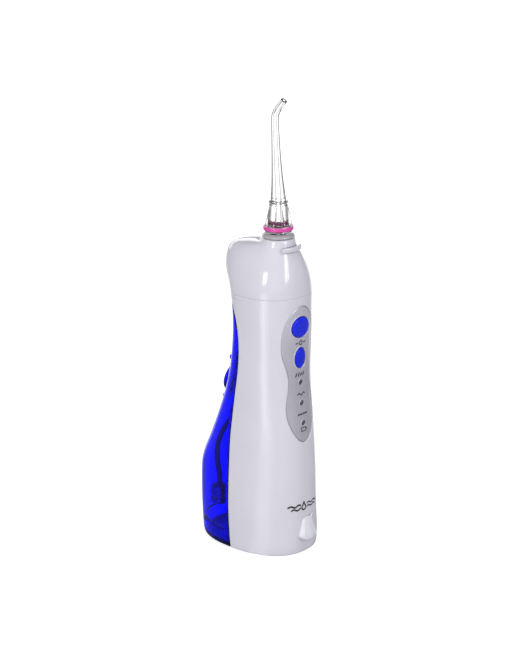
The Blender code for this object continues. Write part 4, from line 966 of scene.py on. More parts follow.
def hinge_ear(x_low, x_high):
    """Rounded ear whose outline is in y and z of the lid's frame."""
    _, y, z = HINGE
    outline = fillet([(y - 2.6, -3.0), (y + 2.6, -3.0), (y + 1.9, z), (y + 1.3, z + 1.75),
                      (y - 1.3, z + 1.75), (y - 1.9, z)], [0, 0, 1.2, 1.4, 1.4, 1.2], 5, True)
    return on_lid(pillow(outline, x_low, x_high, 0.25, place=lambda u, v, height: (height, u, v)))


def tank_body():
    """Tank with its filler neck, hinge ears and the coupling boss on its front wall."""
    neck = turned([(0, -5.0), (11.2, -5.0), (11.2, 0.4), (0, 0.4)], 84, radii=[0, 0.3, 0.35, 0])
    recess = turned([(0, 0.0), (12.7, 0.0), (13.0, 1.2), (13.6, 3.0), (14.6, 8.0), (0, 8.0)], 84,
                    radii=[0, 0.5, 0.8, 0, 0, 0])
    mouth = turned([(0, -9.0), (8.2, -9.0), (8.2, -0.5), (8.5, 0.1), (9.0, 1.0), (0, 1.0)], 84)
    y_hinge, y_boss = HINGE[1], COUPLING_Y
    body = join(tank_shell(), on_lid(neck))
    cut(body, on_lid(recess), on_lid(mouth))
    join(body, hinge_ear(-9.2, -7.0), hinge_ear(7.0, 9.2))
    cut(body, on_lid(slab(-7.0, 7.0, y_hinge - 4.0, y_hinge + 2.6, -0.9, 9.0, 0.3, 0.8)),
        hinge_bore())
    boss = [(0, y_boss + 0.6), (6.4, y_boss + 0.6), (6.4, y_boss + 7.0), (0, y_boss + 7.0)]
    join(body, turned(boss, 56, COUPLING, "Y", radii=[0, 0, 0.6, 0]))
    return cut(body, rod(3.5, y_boss - 3, y_boss + 9, 48, COUPLING, "Y"),
               rod(5.0, y_boss - 3, y_boss + 2.2, 48, COUPLING, "Y"))


piece("tank_body", "tank", "blue_tank", TANK_BLUE, tank_body(), "tank_shell", angle=32)
piece("tank_bottom", "tank", "blue_tank", TANK_BASE_BLUE, tank_base(), "tank_base", angle=32)


# ---------------------------------------------------------------- filler lid
def filler_lid():
    """Dished cap with a raised rim, hinge knuckle above, grooved finger grip below."""
    cap = turned([(0, -1.3), (6.6, -1.3), (6.6, 0.3), (11.6, 0.3), (12.2, 0.9), (12.0, 1.9),
                  (10.6, 2.8), (9.4, 2.8), (8.6, 2.1), (0, 2.3)], 96,
                 radii=[0, 0.4, 0.2, 0.3, 0.3, 0.6, 0.6, 0.5, 0.8, 0])
    lid = joined_shell(
        cap,
        slab(-6.55, 6.55, 9.0, HINGE[1], 0.55, 2.0, 0.25, 0.5),
        rod(1.9, -6.6, 6.6, 40, HINGE, "X", edge=0.35),
        slab(-8.0, 8.0, -15.4, -9.6, 1.0, 2.5, 0.45, 2.2),
        slab(-8.0, 8.0, -15.4, -13.4, 1.1, 3.4, 0.6, 0.95),
    )
    groove = rod(0.4, -5.9, 5.9, 16, (0, -12.6, 2.62), "X")
    return cut(on_lid(lid), on_lid(groove), hinge_bore())


def filler_seal():
    return on_lid(turned([(6.65, -1.1), (7.7, -1.1), (7.7, 0.0), (6.65, 0.0)], 84, closed=True,
                         radii=0.35))


piece("tank_lid", "lid", "blue_tank", LID_BLUE, filler_lid(), "filler_lid", angle=34)
piece("lid_seal", "lid", "rubber", RUBBER, filler_seal(), "filler_seal")
piece("lid_pin", "tank", "steel", STEEL, on_lid(rod(0.85, -9.0, 9.0, 28, HINGE, "X", edge=0.2)),
      "lid_hinge_pin")


# ---------------------------------------------------------------- hose and strainer
def smooth_path(points, per):
    """Catmull-Rom path through points, with per steps between each two."""
    points = [Vector(point) for point in points]
    points = [2 * points[0] - points[1]] + points + [2 * points[-1] - points[-2]]
    path = []
    for before, start, end, after in zip(points, points[1:], points[2:], points[3:]):
        for k in range(per):
            t = k / per
            path.append(0.5 * (
                (2 * start) + (end - before) * t
                + (2 * before - 5 * start + 4 * end - after) * t * t
                + (3 * start - before - 3 * end + after) * t**3
            ))
    return path + [points[-2]]


def swept(path, radius, sides, bore=0.0, edge=0.2):
    """Round tube along a path; hollow if a bore is given."""
    path = [Vector(point) for point in path]
    normal = Vector((1, 0, 0))
    frames = []
    for i, point in enumerate(path):
        tangent = (path[min(i + 1, len(path) - 1)] - path[max(i - 1, 0)]).normalized()
        normal = (normal - tangent * normal.dot(tangent)).normalized()
        frames.append((point, tangent, normal, tangent.cross(normal)))

    def ring(frame, size, push=0.0):
        point, tangent, first, second = frame
        turns = [2 * math.pi * k / sides for k in range(sides)]
        return [tuple(point + tangent * push + (first * math.cos(a) + second * math.sin(a)) * size)
                for a in turns]

    start, *middle, end = frames
    rings = [ring(start, radius - edge), ring(start, radius, edge)]
    rings += [ring(frame, radius) for frame in middle]
    rings += [ring(end, radius, -edge), ring(end, radius - edge)]
    if bore:
        rings += [ring(frame, bore) for frame in frames[::-1]]
    return loft(rings, wrap=bool(bore))


STRAINER_X, STRAINER_Y = -8.0, 44.0
HOSE_POINTS = [
    (COUPLING[0], COUPLING_Y + 7.4, COUPLING[2]), (7.0, 30.0, 83.8), (1.5, 36.0, 80.0),
    (-4.5, 41.0, 72.5), (-8.5, 44.0, 62.0), (-9.0, 45.0, 50.0),
    (STRAINER_X, STRAINER_Y, 38.0), (STRAINER_X, STRAINER_Y, 32.4),
]


def strainer():
    """Ringed weight with eight upright slots."""
    profile = [
        (0, 18.6), (5.6, 18.6), (6.3, 19.3), (6.3, 22.0), (5.3, 22.6), (5.3, 24.0), (6.3, 24.6),
        (6.3, 27.0), (5.3, 27.6), (5.3, 28.8), (6.1, 29.4), (5.8, 30.6), (2.6, 31.2),
        (2.6, 32.0), (0, 32.0),
    ]
    radii = [0, 0.5, 0.4, 0.3, 0.3, 0.3, 0.3, 0.3, 0.3, 0.3, 0.3, 0.5, 0.4, 0.4, 0]
    centre = Matrix.Translation((STRAINER_X, STRAINER_Y, 23.3))
    count = 8
    slots = [
        moved(slab(-0.6, 0.6, 4.6, 8.0, -1.7, 1.7, 0.2, 0.3),
              centre @ Matrix.Rotation(2 * math.pi * (k + 0.5) / count, 4, "Z"))
        for k in range(count)
    ]
    return cut(turned(profile, 64, (STRAINER_X, STRAINER_Y, 0), radii=radii), *slots)


piece("pickup_hose", "tank", "silicone", HOSE,
      swept(smooth_path(HOSE_POINTS, 9), radius=1.7, sides=28, bore=1.0), "suction_tube", angle=50)
piece("strainer", "tank", "steel", STEEL, strainer(), "strainer_weight", angle=40)


# ---------------------------------------------------------------- control panel
def shrunk(loop, centre, scale):
    return centre + (loop - centre) * scale


def panel_plate():
    """Plate that follows the front, with a rounded edge and a flange behind the wall."""
    centre = np.array([0.0, 115.0])
    base = grow_loop(PANEL_LOOP, -0.7)
    flange = grow_loop(PANEL_LOOP, 1.3)
    # rounded edge: depth, growth
    edge = [(0.55, 0.0), (0.30, -0.06), (0.12, -0.2), (0.03, -0.42), (0.0, -0.7)]
    rings = [on_front(shrunk(base, centre, scale), PANEL_SINK + 2.7)
             for scale in np.linspace(0.02, 0.985, 20)]
    rings += [on_front(flange, WALL + GAP + depth) for depth in (1.0, 0.15)]
    rings.append(on_front(PANEL_LOOP, WALL + GAP))
    rings += [on_front(grow_loop(PANEL_LOOP, growth), PANEL_SINK + depth)
              for depth, growth in edge]
    rings += [on_front(shrunk(base, centre, scale), PANEL_SINK)
              for scale in np.linspace(0.965, 0.02, 26)]
    return loft(rings, weld=1e-4)


def oval_loop(z, half_width, half_height, count=88):
    turns = np.arange(count) * 2 * math.pi / count
    return np.stack([half_width * np.sin(turns), z + half_height * np.cos(turns)], 1)


def panel_face():
    # rounded openings: depth, growth
    key_opening = [(-3, 0.62), (-0.05, 0.62), (0.08, 0.48), (0.25, 0.34), (0.5, 0.26), (6, 0.26)]
    lamp_opening = [(-2, 0.42), (-0.02, 0.42), (0.1, 0.28), (0.3, 0.12), (6, 0.12)]
    keys = [front_cutter(oval_loop(*key), key_opening, PANEL_SINK)
            for key in (POWER_KEY, MODE_KEY)]
    lamps = [front_cutter(oval_loop(z, LAMP_RADIUS, LAMP_RADIUS, 40), lamp_opening, PANEL_SINK)
             for z in LAMP_HEIGHTS]
    return cut(panel_plate(), *keys, *lamps)


def key_ring(key):
    """Slim raised ring round a key, standing on the panel."""
    growth, tube, flatness, lift, sides = 0.95, 0.34, 0.62, 0.05, 12
    loop = oval_loop(*key, count=96)
    turns = [2 * math.pi * j / sides for j in range(sides)]
    return loft([
        on_front(grow_loop(loop, growth + tube * math.cos(turn)),
                 PANEL_SINK - lift - tube * flatness * math.sin(turn))
        for turn in turns
    ], wrap=True)


def key_cap(key, dished):
    """Domed key on a stem that ends just before the switch."""
    follow = 0.35  # how much the cap follows the casing's curve
    face = front_y(key[0]) + PANEL_SINK
    back = BOARD_FRONT - 1.7 - BUTTON_TRAVEL - 0.1
    loop, centre = oval_loop(*key), np.array([0.0, key[0]])

    def cap_ring(outline, lift):
        x, z = outline.T
        return np.stack([x, front_y(z, x) * follow + face * (1 - follow) + lift, z], 1)

    rings = []
    for y, growth in ((back, -0.6), (back - 0.9, 0.0)):
        x, z = grow_loop(loop, growth).T
        rings.append(np.stack([x, np.full(len(x), y), z], 1))
    # rounded shoulder: y from the face, growth
    for lift, growth in ((1.6, 0.0), (0.3, 0.0), (0.0, -0.03), (-0.2, -0.12), (-0.36, -0.3),
                         (-0.47, -0.55)):
        rings.append(cap_ring(grow_loop(loop, growth), lift))
    base = grow_loop(loop, -0.55)
    for scale in np.r_[np.linspace(0.94, 0.72, 5), np.linspace(0.66, 0.03, 12)]:
        lift = -0.47 - 0.62 * (1 - scale * scale)
        if dished:
            lift += 0.22 * math.exp(-((scale / 0.42) ** 2))
            lift -= 0.10 * math.exp(-(((scale - 0.62) / 0.09) ** 2))
        rings.append(cap_ring(shrunk(base, centre, scale), lift))
    return loft(rings, weld=1e-4)


def lamp_lens(z):
    y, radius, back = front_y(z) + PANEL_SINK, LAMP_RADIUS, BOARD_FRONT - 1.6
    profile = [(0, y - 0.38), (0.55, y - 0.37), (0.75, y - 0.30), (radius * 0.72, y - 0.26),
               (radius * 0.92, y - 0.08), (radius, y + 0.12), (radius, back), (0, back)]
    return turned(profile, 48, (0, 0, z), "Y")


def lamp_rim(z):
    y = front_y(z) + PANEL_SINK
    section_points = [(0.20, 0.16), (0.20, -0.06), (0.42, -0.14), (0.66, -0.02), (0.66, 0.2)]
    profile = [(LAMP_RADIUS + out, y + depth) for out, depth in section_points]
    return turned(profile, 48, (0, 0, z), "Y", closed=True, radii=0.08)


piece("panel_face", "handle", "silver_panel", PANEL_SILVER, panel_face(), "control_panel",
      angle=34)
for name, key in (("power", POWER_KEY), ("mode", MODE_KEY)):
    piece(name + "_key_ring", "handle", "silver_panel", BEZEL, key_ring(key), angle=60)
for name, key, dished in (("power", POWER_KEY, True), ("mode", MODE_KEY, False)):
    piece(name + "_key_cap", name + "_key", "blue_key", KEY_BLUE, key_cap(key, dished),
          name + "_button", angle=50)
for i, node_name in enumerate(("lamp_normal", "lamp_soft", "lamp_pulse")):
    z = LAMP_HEIGHTS[i]
    piece(f"lamp_lens_{i + 1}", "handle", "lamp", LAMP, lamp_lens(z), node_name, angle=50)
    piece(f"lamp_rim_{i + 1}", "handle", "silver_panel", BEZEL, lamp_rim(z), angle=50)


# ---------------------------------------------------------------- printed pictograms
def ribbon(path, width, sink):
    """A printed line with round ends, following the front. path is (x, z) points."""
    proud, deep, end_steps = 0.035, 0.10, 5
    path = np.array(path, float)
    tangents = np.gradient(path, axis=0)
    tangents /= np.maximum(np.hypot(tangents[:, 0], tangents[:, 1]), 1e-9)[:, None]
    normals = np.stack([-tangents[:, 1], tangents[:, 0]], 1)
    half = width / 2
    rows = [(point, normal, 1.0) for point, normal in zip(path, normals)]
    for k in range(1, end_steps + 1):
        angle = math.pi / 2 * k / end_steps
        push, narrow = half * math.sin(angle), max(0.04, math.cos(angle))
        rows.insert(0, (path[0] - tangents[0] * push, normals[0], narrow))
        rows.append((path[-1] + tangents[-1] * push, normals[-1], narrow))
    rings = []
    for point, normal, narrow in rows:
        (x_left, z_left), (x_right, z_right) = [
            point + normal * half * narrow * side for side in (1, -1)
        ]
        y_left, y_right = front_y(z_left, x_left) + sink, front_y(z_right, x_right) + sink
        rings.append([(x_left, y_left - proud, z_left), (x_right, y_right - proud, z_right),
                      (x_right, y_right + deep, z_right), (x_left, y_left + deep, z_left)])
    return loft(rings, weld=1e-5)


def arc(x, z, radius, start, end, steps=18):
    angles = [math.radians(start + (end - start) * k / steps) for k in range(steps + 1)]
    return [(x + radius * math.cos(a), z + radius * math.sin(a)) for a in angles]


def line(x_start, z_start, x_end, z_end, steps=4):
    return [(x_start + (x_end - x_start) * k / steps, z_start + (z_end - z_start) * k / steps)
            for k in range(steps + 1)]


def waves(x_start, x_end, z, height, periods, steps=40):
    return [(x_start + (x_end - x_start) * k / steps,
             z + height * math.sin(2 * math.pi * periods * k / steps)) for k in range(steps + 1)]


def drop(x, z, radius):
    """Drop outline: most of a circle closed by two lines to a tip above it."""
    gap = 28  # degrees either side of the tip
    tip = (x, z + radius * 2.1)
    round_part = arc(x, z, radius, 90 + gap, 450 - gap, 26)
    return line(*tip, *round_part[0], 5)[:-1] + round_part + line(*round_part[-1], *tip, 5)[1:]


MARK_LINE = 0.78
WATER_Z = 31.8  # water mark low on the casing: ripples either side of a drop
# name, depth below the casing's surface, strokes as (width, path)
MARKS = [
    # two arcs between two dashes
    ("mark_mode", PANEL_SINK, [
        (MARK_LINE, arc(0, 139.35, 1.25, 15, 165)),
        (MARK_LINE, arc(0, 139.35, 1.25, 195, 345)),
        (MARK_LINE, line(-4.3, 139.35, -2.6, 139.35)),
        (MARK_LINE, line(2.6, 139.35, 4.3, 139.35)),
    ]),
    # four slanted bars
    ("mark_full", PANEL_SINK, [
        (0.95, line(-4.4 + i * 2.2, 117.9, -3.3 + i * 2.2, 117.9 + 1.7)) for i in range(4)
    ]),
    # one low wave
    ("mark_soft", PANEL_SINK, [(MARK_LINE, waves(-3.2, 3.2, 105.8, 0.7, 1.5))]),
    # broken jet
    ("mark_pulse", PANEL_SINK, [
        (1.15, line(x, 92.9, x + length, 92.9))
        for x, length in ((-3.9, 0.7), (-2.0, 1.2), (0.5, 0.6), (2.3, 1.5))
    ]),
    # small cell outline
    ("mark_charge", PANEL_SINK, [
        (0.62, line(-2.3, 84.1, 1.7, 84.1)), (0.62, line(-2.3, 81.8, 1.7, 81.8)),
        (0.62, line(-2.3, 81.8, -2.3, 84.1)), (0.62, line(1.7, 81.8, 1.7, 84.1)),
        (0.7, line(2.6, 82.6, 2.6, 83.3)),
    ]),
    ("mark_water", 0.0, [
        (1.25, waves(-13.6, -5.2, WATER_Z + 1.2, 0.55, 1.5)),
        (1.15, waves(-11.6, -5.2, WATER_Z - 1.2, 0.5, 1.2)),
        (1.05, drop(-2.2, WATER_Z - 0.6, 1.75)),
        (0.95, waves(1.0, 11.5, WATER_Z + 1.2, 0.55, 1.9)),
        (0.95, waves(1.0, 9.6, WATER_Z - 1.0, 0.5, 1.6)),
    ]),
]
for name, sink, strokes in MARKS:
    shells = [ribbon(path, width, sink) for width, path in strokes]
    piece(name, "handle", "lamp", PRINT, merged(shells), angle=60)


# ---------------------------------------------------------------- charging cover
def cover_shell(y_face):
    """Ridged pad that tapers upwards and lies on the front."""
    # z, half width, depth
    table = [
        (9.55, 3.6, 2.7), (9.7, 4.5, 3.4), (10.1, 5.6, 3.95), (10.8, 6.7, 4.15),
        (11.8, 7.55, 4.15), (12.9, 7.75, 4.0), (13.9, 7.45, 3.8), (15.4, 6.85, 3.4),
        (17.0, 6.2, 2.95), (19.0, 5.5, 2.35), (20.8, 4.95, 1.85), (22.2, 4.45, 1.4),
        (23.2, 3.75, 1.05), (23.9, 2.9, 0.8), (24.25, 2.0, 0.55), (24.4, 1.2, 0.35),
    ]
    steps = 24
    rings = []
    for z, half, depth in table:
        y_side, y_ridge, y_root = y_face - depth * 0.80, y_face - depth, y_face + 0.5
        corner = min(0.9, half * 0.2)
        outline = fillet([(-half, y_root), (-half * 0.80, y_side), (-half * 0.10, y_ridge),
                          (half * 0.10, y_ridge), (half * 0.80, y_side), (half, y_root)],
                         [0, corner, 1.4, 1.4, corner, 0], 6)
        ring = [(x, min(y, front_y(z, x) - 0.3), z) for x, y in outline]
        for k in range(steps + 1):
            x = half - 2 * half * k / steps
            ring.append((x, front_y(z, x) - 0.22, z))
        rings.append(ring)
    return loft(rings)


def charging_cover():
    """Pad with a plug at its back and a short strap loop at its top corner."""
    y_face = front_y(SOCKET_Z) - GAP
    plug = turned([(0, y_face - 1.0), (2.3, y_face - 1.0), (2.3, y_face + 1.7),
                   (1.9, y_face + 2.0), (0, y_face + 2.0)], 40, (0, 0, SOCKET_Z), "Y")
    # x, z, lift off the front
    strap = [(2.4, 22.0, 0.9), (3.3, 24.0, 1.25), (4.6, 24.9, 1.15), (5.7, 24.2, 0.85),
             (6.0, 22.6, 0.62)]
    path = [(x, front_y(z, x) - lift, z) for x, z, lift in strap]
    return join(cover_shell(y_face), plug, swept(path, radius=0.5, sides=16))


piece("socket_cover", "charging_plug", "white_soft", SOFT_WHITE, charging_cover(),
      "charging_cover", angle=34)


# ---------------------------------------------------------------- release slider
def slider_ledge():
    """Curved finger ledge on the front of the head, narrowed at its ends."""
    outline = fillet([(12.85, 199.9), (13.6, 200.05), (14.35, 199.35), (14.4, 197.5),
                      (13.9, 196.72), (13.4, 196.8), (12.85, 198.2)],
                     [0.15, 0.45, 0.7, 0.7, 0.3, 0.2, 0.3], 6, True)
    half_angle, steps, taper_from = 40.5, 60, 0.95
    inner_radius, middle_z = 12.95, 198.35
    rings = []
    for k in range(steps + 1):
        turn = math.radians(-half_angle + 2 * half_angle * k / steps)
        share = abs(turn) / math.radians(half_angle)
        size = 1.0
        if share >= taper_from:
            taper = (share - taper_from) / (1 - taper_from)
            size = math.sqrt(max(0.0, 1 - taper**2)) * 0.9 + 0.1
        ring = []
        for radius, z in outline:
            radius = inner_radius + (radius - inner_radius) * size
            ring.append((radius * math.sin(turn), -radius * math.cos(turn),
                         middle_z + (z - middle_z) * (0.35 + 0.65 * size)))
        rings.append(ring)
    return loft(rings, weld=1e-5)


def sector(inner, outer, low, high, half_angle, steps):
    """Curved block centred on -Y; half_angle in degrees."""
    corners = ((inner, low), (outer, low), (outer, high), (inner, high))
    rings = []
    for k in range(steps + 1):
        turn = math.radians(-90 - half_angle + 2 * half_angle * k / steps)
        rings.append([(radius * math.cos(turn), radius * math.sin(turn), z)
                      for radius, z in corners])
    return loft(rings)


def release_slider():
    """Ledge, bridge and wall on a plate that slides round the tip seat."""
    plate = joined_shell(
        rod(8.9, 192.6, 194.2, 80),
        slab(-6.0, 6.0, 4.0, 14.0, 192.7, 194.1, 0.2, 0.5),
        slab(-3.0, 3.0, 12.6, 14.2, 190.2, 194.1, 0.2, 0.3),
        rod(1.1, 13.7, 16.5, 28, (0, 0, 192.2), "Y"),
    )
    slot = joined_shell(rod(6.5, 190, 195.5, 72),
                        rod(6.5, 190, 195.5, 72, (0, -SLIDE_TRAVEL, 0)))
    slider = join(slider_ledge(), sector(8.0, 13.4, 197.3, 199.3, 27.0, 40),
                  sector(7.9, 9.1, 192.9, 198.6, 30.0, 36), plate)
    return cut(slider, slot)


piece("release_key", "release", "white_shell", SLIDER, release_slider(), "release_slider",
      angle=34)


# ---------------------------------------------------------------- collar and jet tip
def around(count, radius, shift=0.0):
    """Even places on a circle about Z."""
    turns = [2 * math.pi * (k + shift) / count for k in range(count)]
    return [(radius * math.cos(turn), radius * math.sin(turn), 0) for turn in turns]


def rotating_collar():
    """Domed collar with detent holes inside and shallow finger flutes round the dome."""
    profile = [
        (4.5, 188.0), (6.1, 188.0), (6.1, 200.6), (7.3, 201.2), (7.3, 204.3), (9.95, 204.3),
        (10.3, 204.75), (9.95, 205.6), (9.25, 206.3), (8.2, 206.85), (7.4, 206.7), (4.5, 205.4),
    ]
    radii = [0.2, 0.3, 0.3, 0.3, 0.2, 0.12, 0.5, 1.2, 1.2, 0.5, 0.3, 0.3]
    return cut(turned(profile, 144, closed=True, radii=radii, steps=7),
               *[rod(0.35, 200.4, 203.6, 16, centre) for centre in around(16, 7.4)],
               *[rod(0.5, 204.0, 207.2, 20, centre) for centre in around(24, 10.62, 0.5)])


# bent part of the tip: y, z, outer radius, bore radius, lean (degrees)
TIP_LINE = [
    (0.35, 234.0, 4.2, 1.4, 0), (1.0, 243.0, 3.5, 1.3, 0), (1.8, 256.0, 2.9, 1.1, 0),
    (2.4, 268.0, 2.55, 1.0, 0), (2.7, 276.0, 2.45, 0.95, 3), (2.5, 279.2, 2.4, 0.9, 14),
    (1.2, 282.0, 2.3, 0.85, 28), (-0.8, 284.9, 2.15, 0.8, 36), (-4.4, 289.0, 2.05, 0.8, 36),
]
# y, z, radius, lean (radians)
TIP_OUTSIDE = [(0.0, 227.2, 4.9, 0)]
TIP_OUTSIDE += [(y, z, outer, math.radians(lean)) for y, z, outer, _, lean in TIP_LINE]
TIP_BORE = [(0.0, 187.0, 1.6, 0), (0.0, 227.5, 1.5, 0)]
TIP_BORE += [(y, z, bore, math.radians(lean)) for y, z, _, bore, lean in TIP_LINE]


def dense(rows, per):
    """Smooth in-between rows, by arc length along the line."""
    rows = np.array(rows, float)
    lengths = arc_length(rows[:, :2])
    table = np.column_stack([lengths, rows])
    marks = [start + (end - start) * k / per
             for start, end in zip(lengths, lengths[1:]) for k in range(per)]
    return [[curve_at(table, mark, column) for column in range(1, 5)]
            for mark in marks + [lengths[-1]]]


def disc_ring(y, z, radius, lean, sides=72):
    turns = np.arange(sides) * 2 * math.pi / sides
    across, along = radius * np.cos(turns), radius * np.sin(turns)
    return np.stack([across, y + along * math.cos(lean), z + along * math.sin(lean)], 1)


def tip_tube():
    """Shank, bent tube with a rounded mouth, and the bore back down."""
    shank = fillet(
        [(1.6, 187.4), (4.1, 187.4), (4.1, 206.4), (7.2, 207.4), (8.6, 208.0), (8.6, 208.6),
         (7.9, 208.75), (7.9, 211.5), (6.7, 212.0), (5.75, 224.4), (5.35, 224.9),
         (5.35, 225.4), (5.9, 225.9), (5.9, 226.8), (5.3, 227.2)],
        [0, 0.4, 1.0, 0.3, 0.25, 0.2, 0.3, 0.3, 0.4, 0.2, 0.15, 0.15, 0.35, 0.35, 0.2], 5)
    y, z, radius, lean = TIP_OUTSIDE[-1]
    mouth = [(y - 0.08, z + 0.11, radius - 0.05, lean), (y - 0.12, z + 0.16, radius - 0.16, lean),
             (y - 0.12, z + 0.16, 0.95, lean)]
    rows = [(0, height, size, 0) for size, height in shank]
    rows += dense(TIP_OUTSIDE, 7) + mouth + dense(TIP_BORE, 5)[::-1]
    return loft([disc_ring(*row) for row in rows], wrap=True)


def fin(turn):
    """Thin web that runs out from the shank to the ring seat."""
    outline = fillet([(5.0, 212.2), (8.75, 211.6), (9.0, 212.5), (8.75, 213.6), (6.15, 224.4),
                      (5.0, 224.6)], [0, 0.3, 0.3, 0.5, 0.4, 0], 4, True)
    cos, sin = math.cos(turn), math.sin(turn)
    return pillow(outline, -0.42, 0.42, 0.18, steps=3,
                  place=lambda u, v, height: (u * cos - height * sin, u * sin + height * cos, v))


def colour_ring():
    return turned([(8.0, 208.85), (9.3, 208.85), (9.5, 209.5), (9.5, 210.8), (9.3, 211.35),
                   (8.0, 211.35)], 120, closed=True, radii=[0.2, 0.3, 0.4, 0.4, 0.3, 0.2])


FINS = 8
piece("tip_collar", "collar", "white_shell", COLLAR_SHADED_WHITE, rotating_collar(), "rotating_collar",
      angle=40)
jet_tip = join(tip_tube(), *[fin(2 * math.pi * (k + 0.5) / FINS) for k in range(FINS)])
piece("tip_clear", "tip", "clear_tip", TIP_CLEAR, jet_tip, "jet_tip", angle=36)
piece("tip_colour_ring", "tip", "pink_ring", PINK, colour_ring(), "colour_ring", angle=50)


# ---------------------------------------------------------------- rear panel, base cover
def rear_panel():
    """Curved wall in front of the tank, with a port and two stepped screw holes."""
    steps = np.linspace(-1, 1, 45)
    rings = []
    for y, z, normal_y, normal_z in seam_rows(3.2, 3.0, 1.0, 163.2):
        ring = []
        for distance, way in ((1.0, 1), (3.2, -1)):
            z_wall = z + distance * normal_z
            x, y_wall = wall_x(y + distance * normal_y, z_wall, WALL + GAP)
            ring += [(x * step, y_wall, z_wall) for step in steps][::way]
        rings.append(ring)
    panel = cut(loft(rings), rod(3.4, 8, 24, 56, COUPLING, "Y"))
    for x, z in ((-12.0, 18.0), (15.0, 116.0)):
        y = curve_at(SEAM, z)
        cut(panel, rod(1.5, 0, 30, 28, (x, 0, z), "Y"),
            rod(2.5, y - 2.2, y + 8, 32, (x, 0, z), "Y"))
    return panel


def base_cover():
    """Plate under the handle, with three stepped screw holes."""
    arc_steps, wall_steps = 120, 30
    across = np.linspace(-1, 1, arc_steps + 1)
    rings = []
    # z, edge rounding
    for z, rounding in ((2.4, 0.0), (0.35, 0.0), (0.1, 0.1), (0.0, 0.35)):
        inset = WALL + GAP + rounding
        y_back = curve_at(SEAM, 0.0) - 1.2 - rounding
        front = section(0.5, across * turn_at(0.0, y_back, inset), inset)
        x_end = front[-1][0]
        rings.append([(x, y, z) for x, y, _ in front]
                     + [(x_end * (1 - 2 * k / wall_steps), y_back, z)
                        for k in range(1, wall_steps)])
    hole = [(0, -1), (2.8, -1), (2.8, 1.5), (1.6, 1.5), (1.6, 3), (0, 3)]
    places = ((-19.5, 4.0, 0), (21.6, 9.0, 0), (-9.5, -13.5, 0))
    return cut(loft(rings), *[turned(hole, 36, place) for place in places])


piece("rear_wall", "handle", "white_shell", INNER_WHITE, rear_panel(), "rear_panel", angle=30)
piece("bottom_cover", "handle", "white_shell", INNER_WHITE, base_cover(), "base_cover", angle=30)

# ---------------------------------------------------------------- carried-over CAD pieces
CAD_MATERIALS = {
    "control_board": BOARD, "power_switch": STEEL, "mode_switch": STEEL,
    "battery_cell": SLEEVE, "charging_socket": BLACK, "inner_frame": FRAME,
    "drive_motor": MOTOR_CAN, "motor_pinion": BRASS, "motor_shaft": STEEL,
    "crown_gear": ACETAL, "gear_axle": STEEL, "connecting_rod": ACETAL, "piston": ACETAL,
    "piston_seal": RUBBER, "pump_cylinder": ACETAL, "pump_head": FRAME, "inlet_valve": RUBBER,
    "inlet_hose": SILICONE, "outlet_hose": SILICONE, "tip_seat": FRAME, "seat_o_ring": RUBBER,
    "release_spring": STEEL, "tank_port_seal": RUBBER, "suction_spigot": FRAME,
}


def dress_cad(name, part):
    """Gives a visible CAD piece its material and smooth shading with crisp edges."""
    default = STEEL if "screw" in name or "pin" in name else FRAME
    mesh = part.data
    mesh.materials.clear()
    mesh.materials.append(CAD_MATERIALS.get(name, default))
    for polygon in mesh.polygons:
        polygon.use_smooth = True
    if "custom_normal" in mesh.attributes:
        mesh.attributes.remove(mesh.attributes["custom_normal"])
    part.modifiers.new("weld", "WELD").merge_threshold = 2e-6
    edges = part.modifiers.new("edges", "EDGE_SPLIT")
    edges.split_angle = math.radians(34)
    edges.use_edge_sharp = False


for name, part in CAD_NODES.items():
    if not part.hide_render:
        dress_cad(name, part)


# ---------------------------------------------------------------- floor
def direction(azimuth, elevation):
    """Unit vector from degrees; azimuth turns from +Y towards +X."""
    turn, rise = math.radians(azimuth), math.radians(elevation)
    return Vector((math.sin(turn) * math.cos(rise), math.cos(turn) * math.cos(rise),
                   math.sin(rise)))


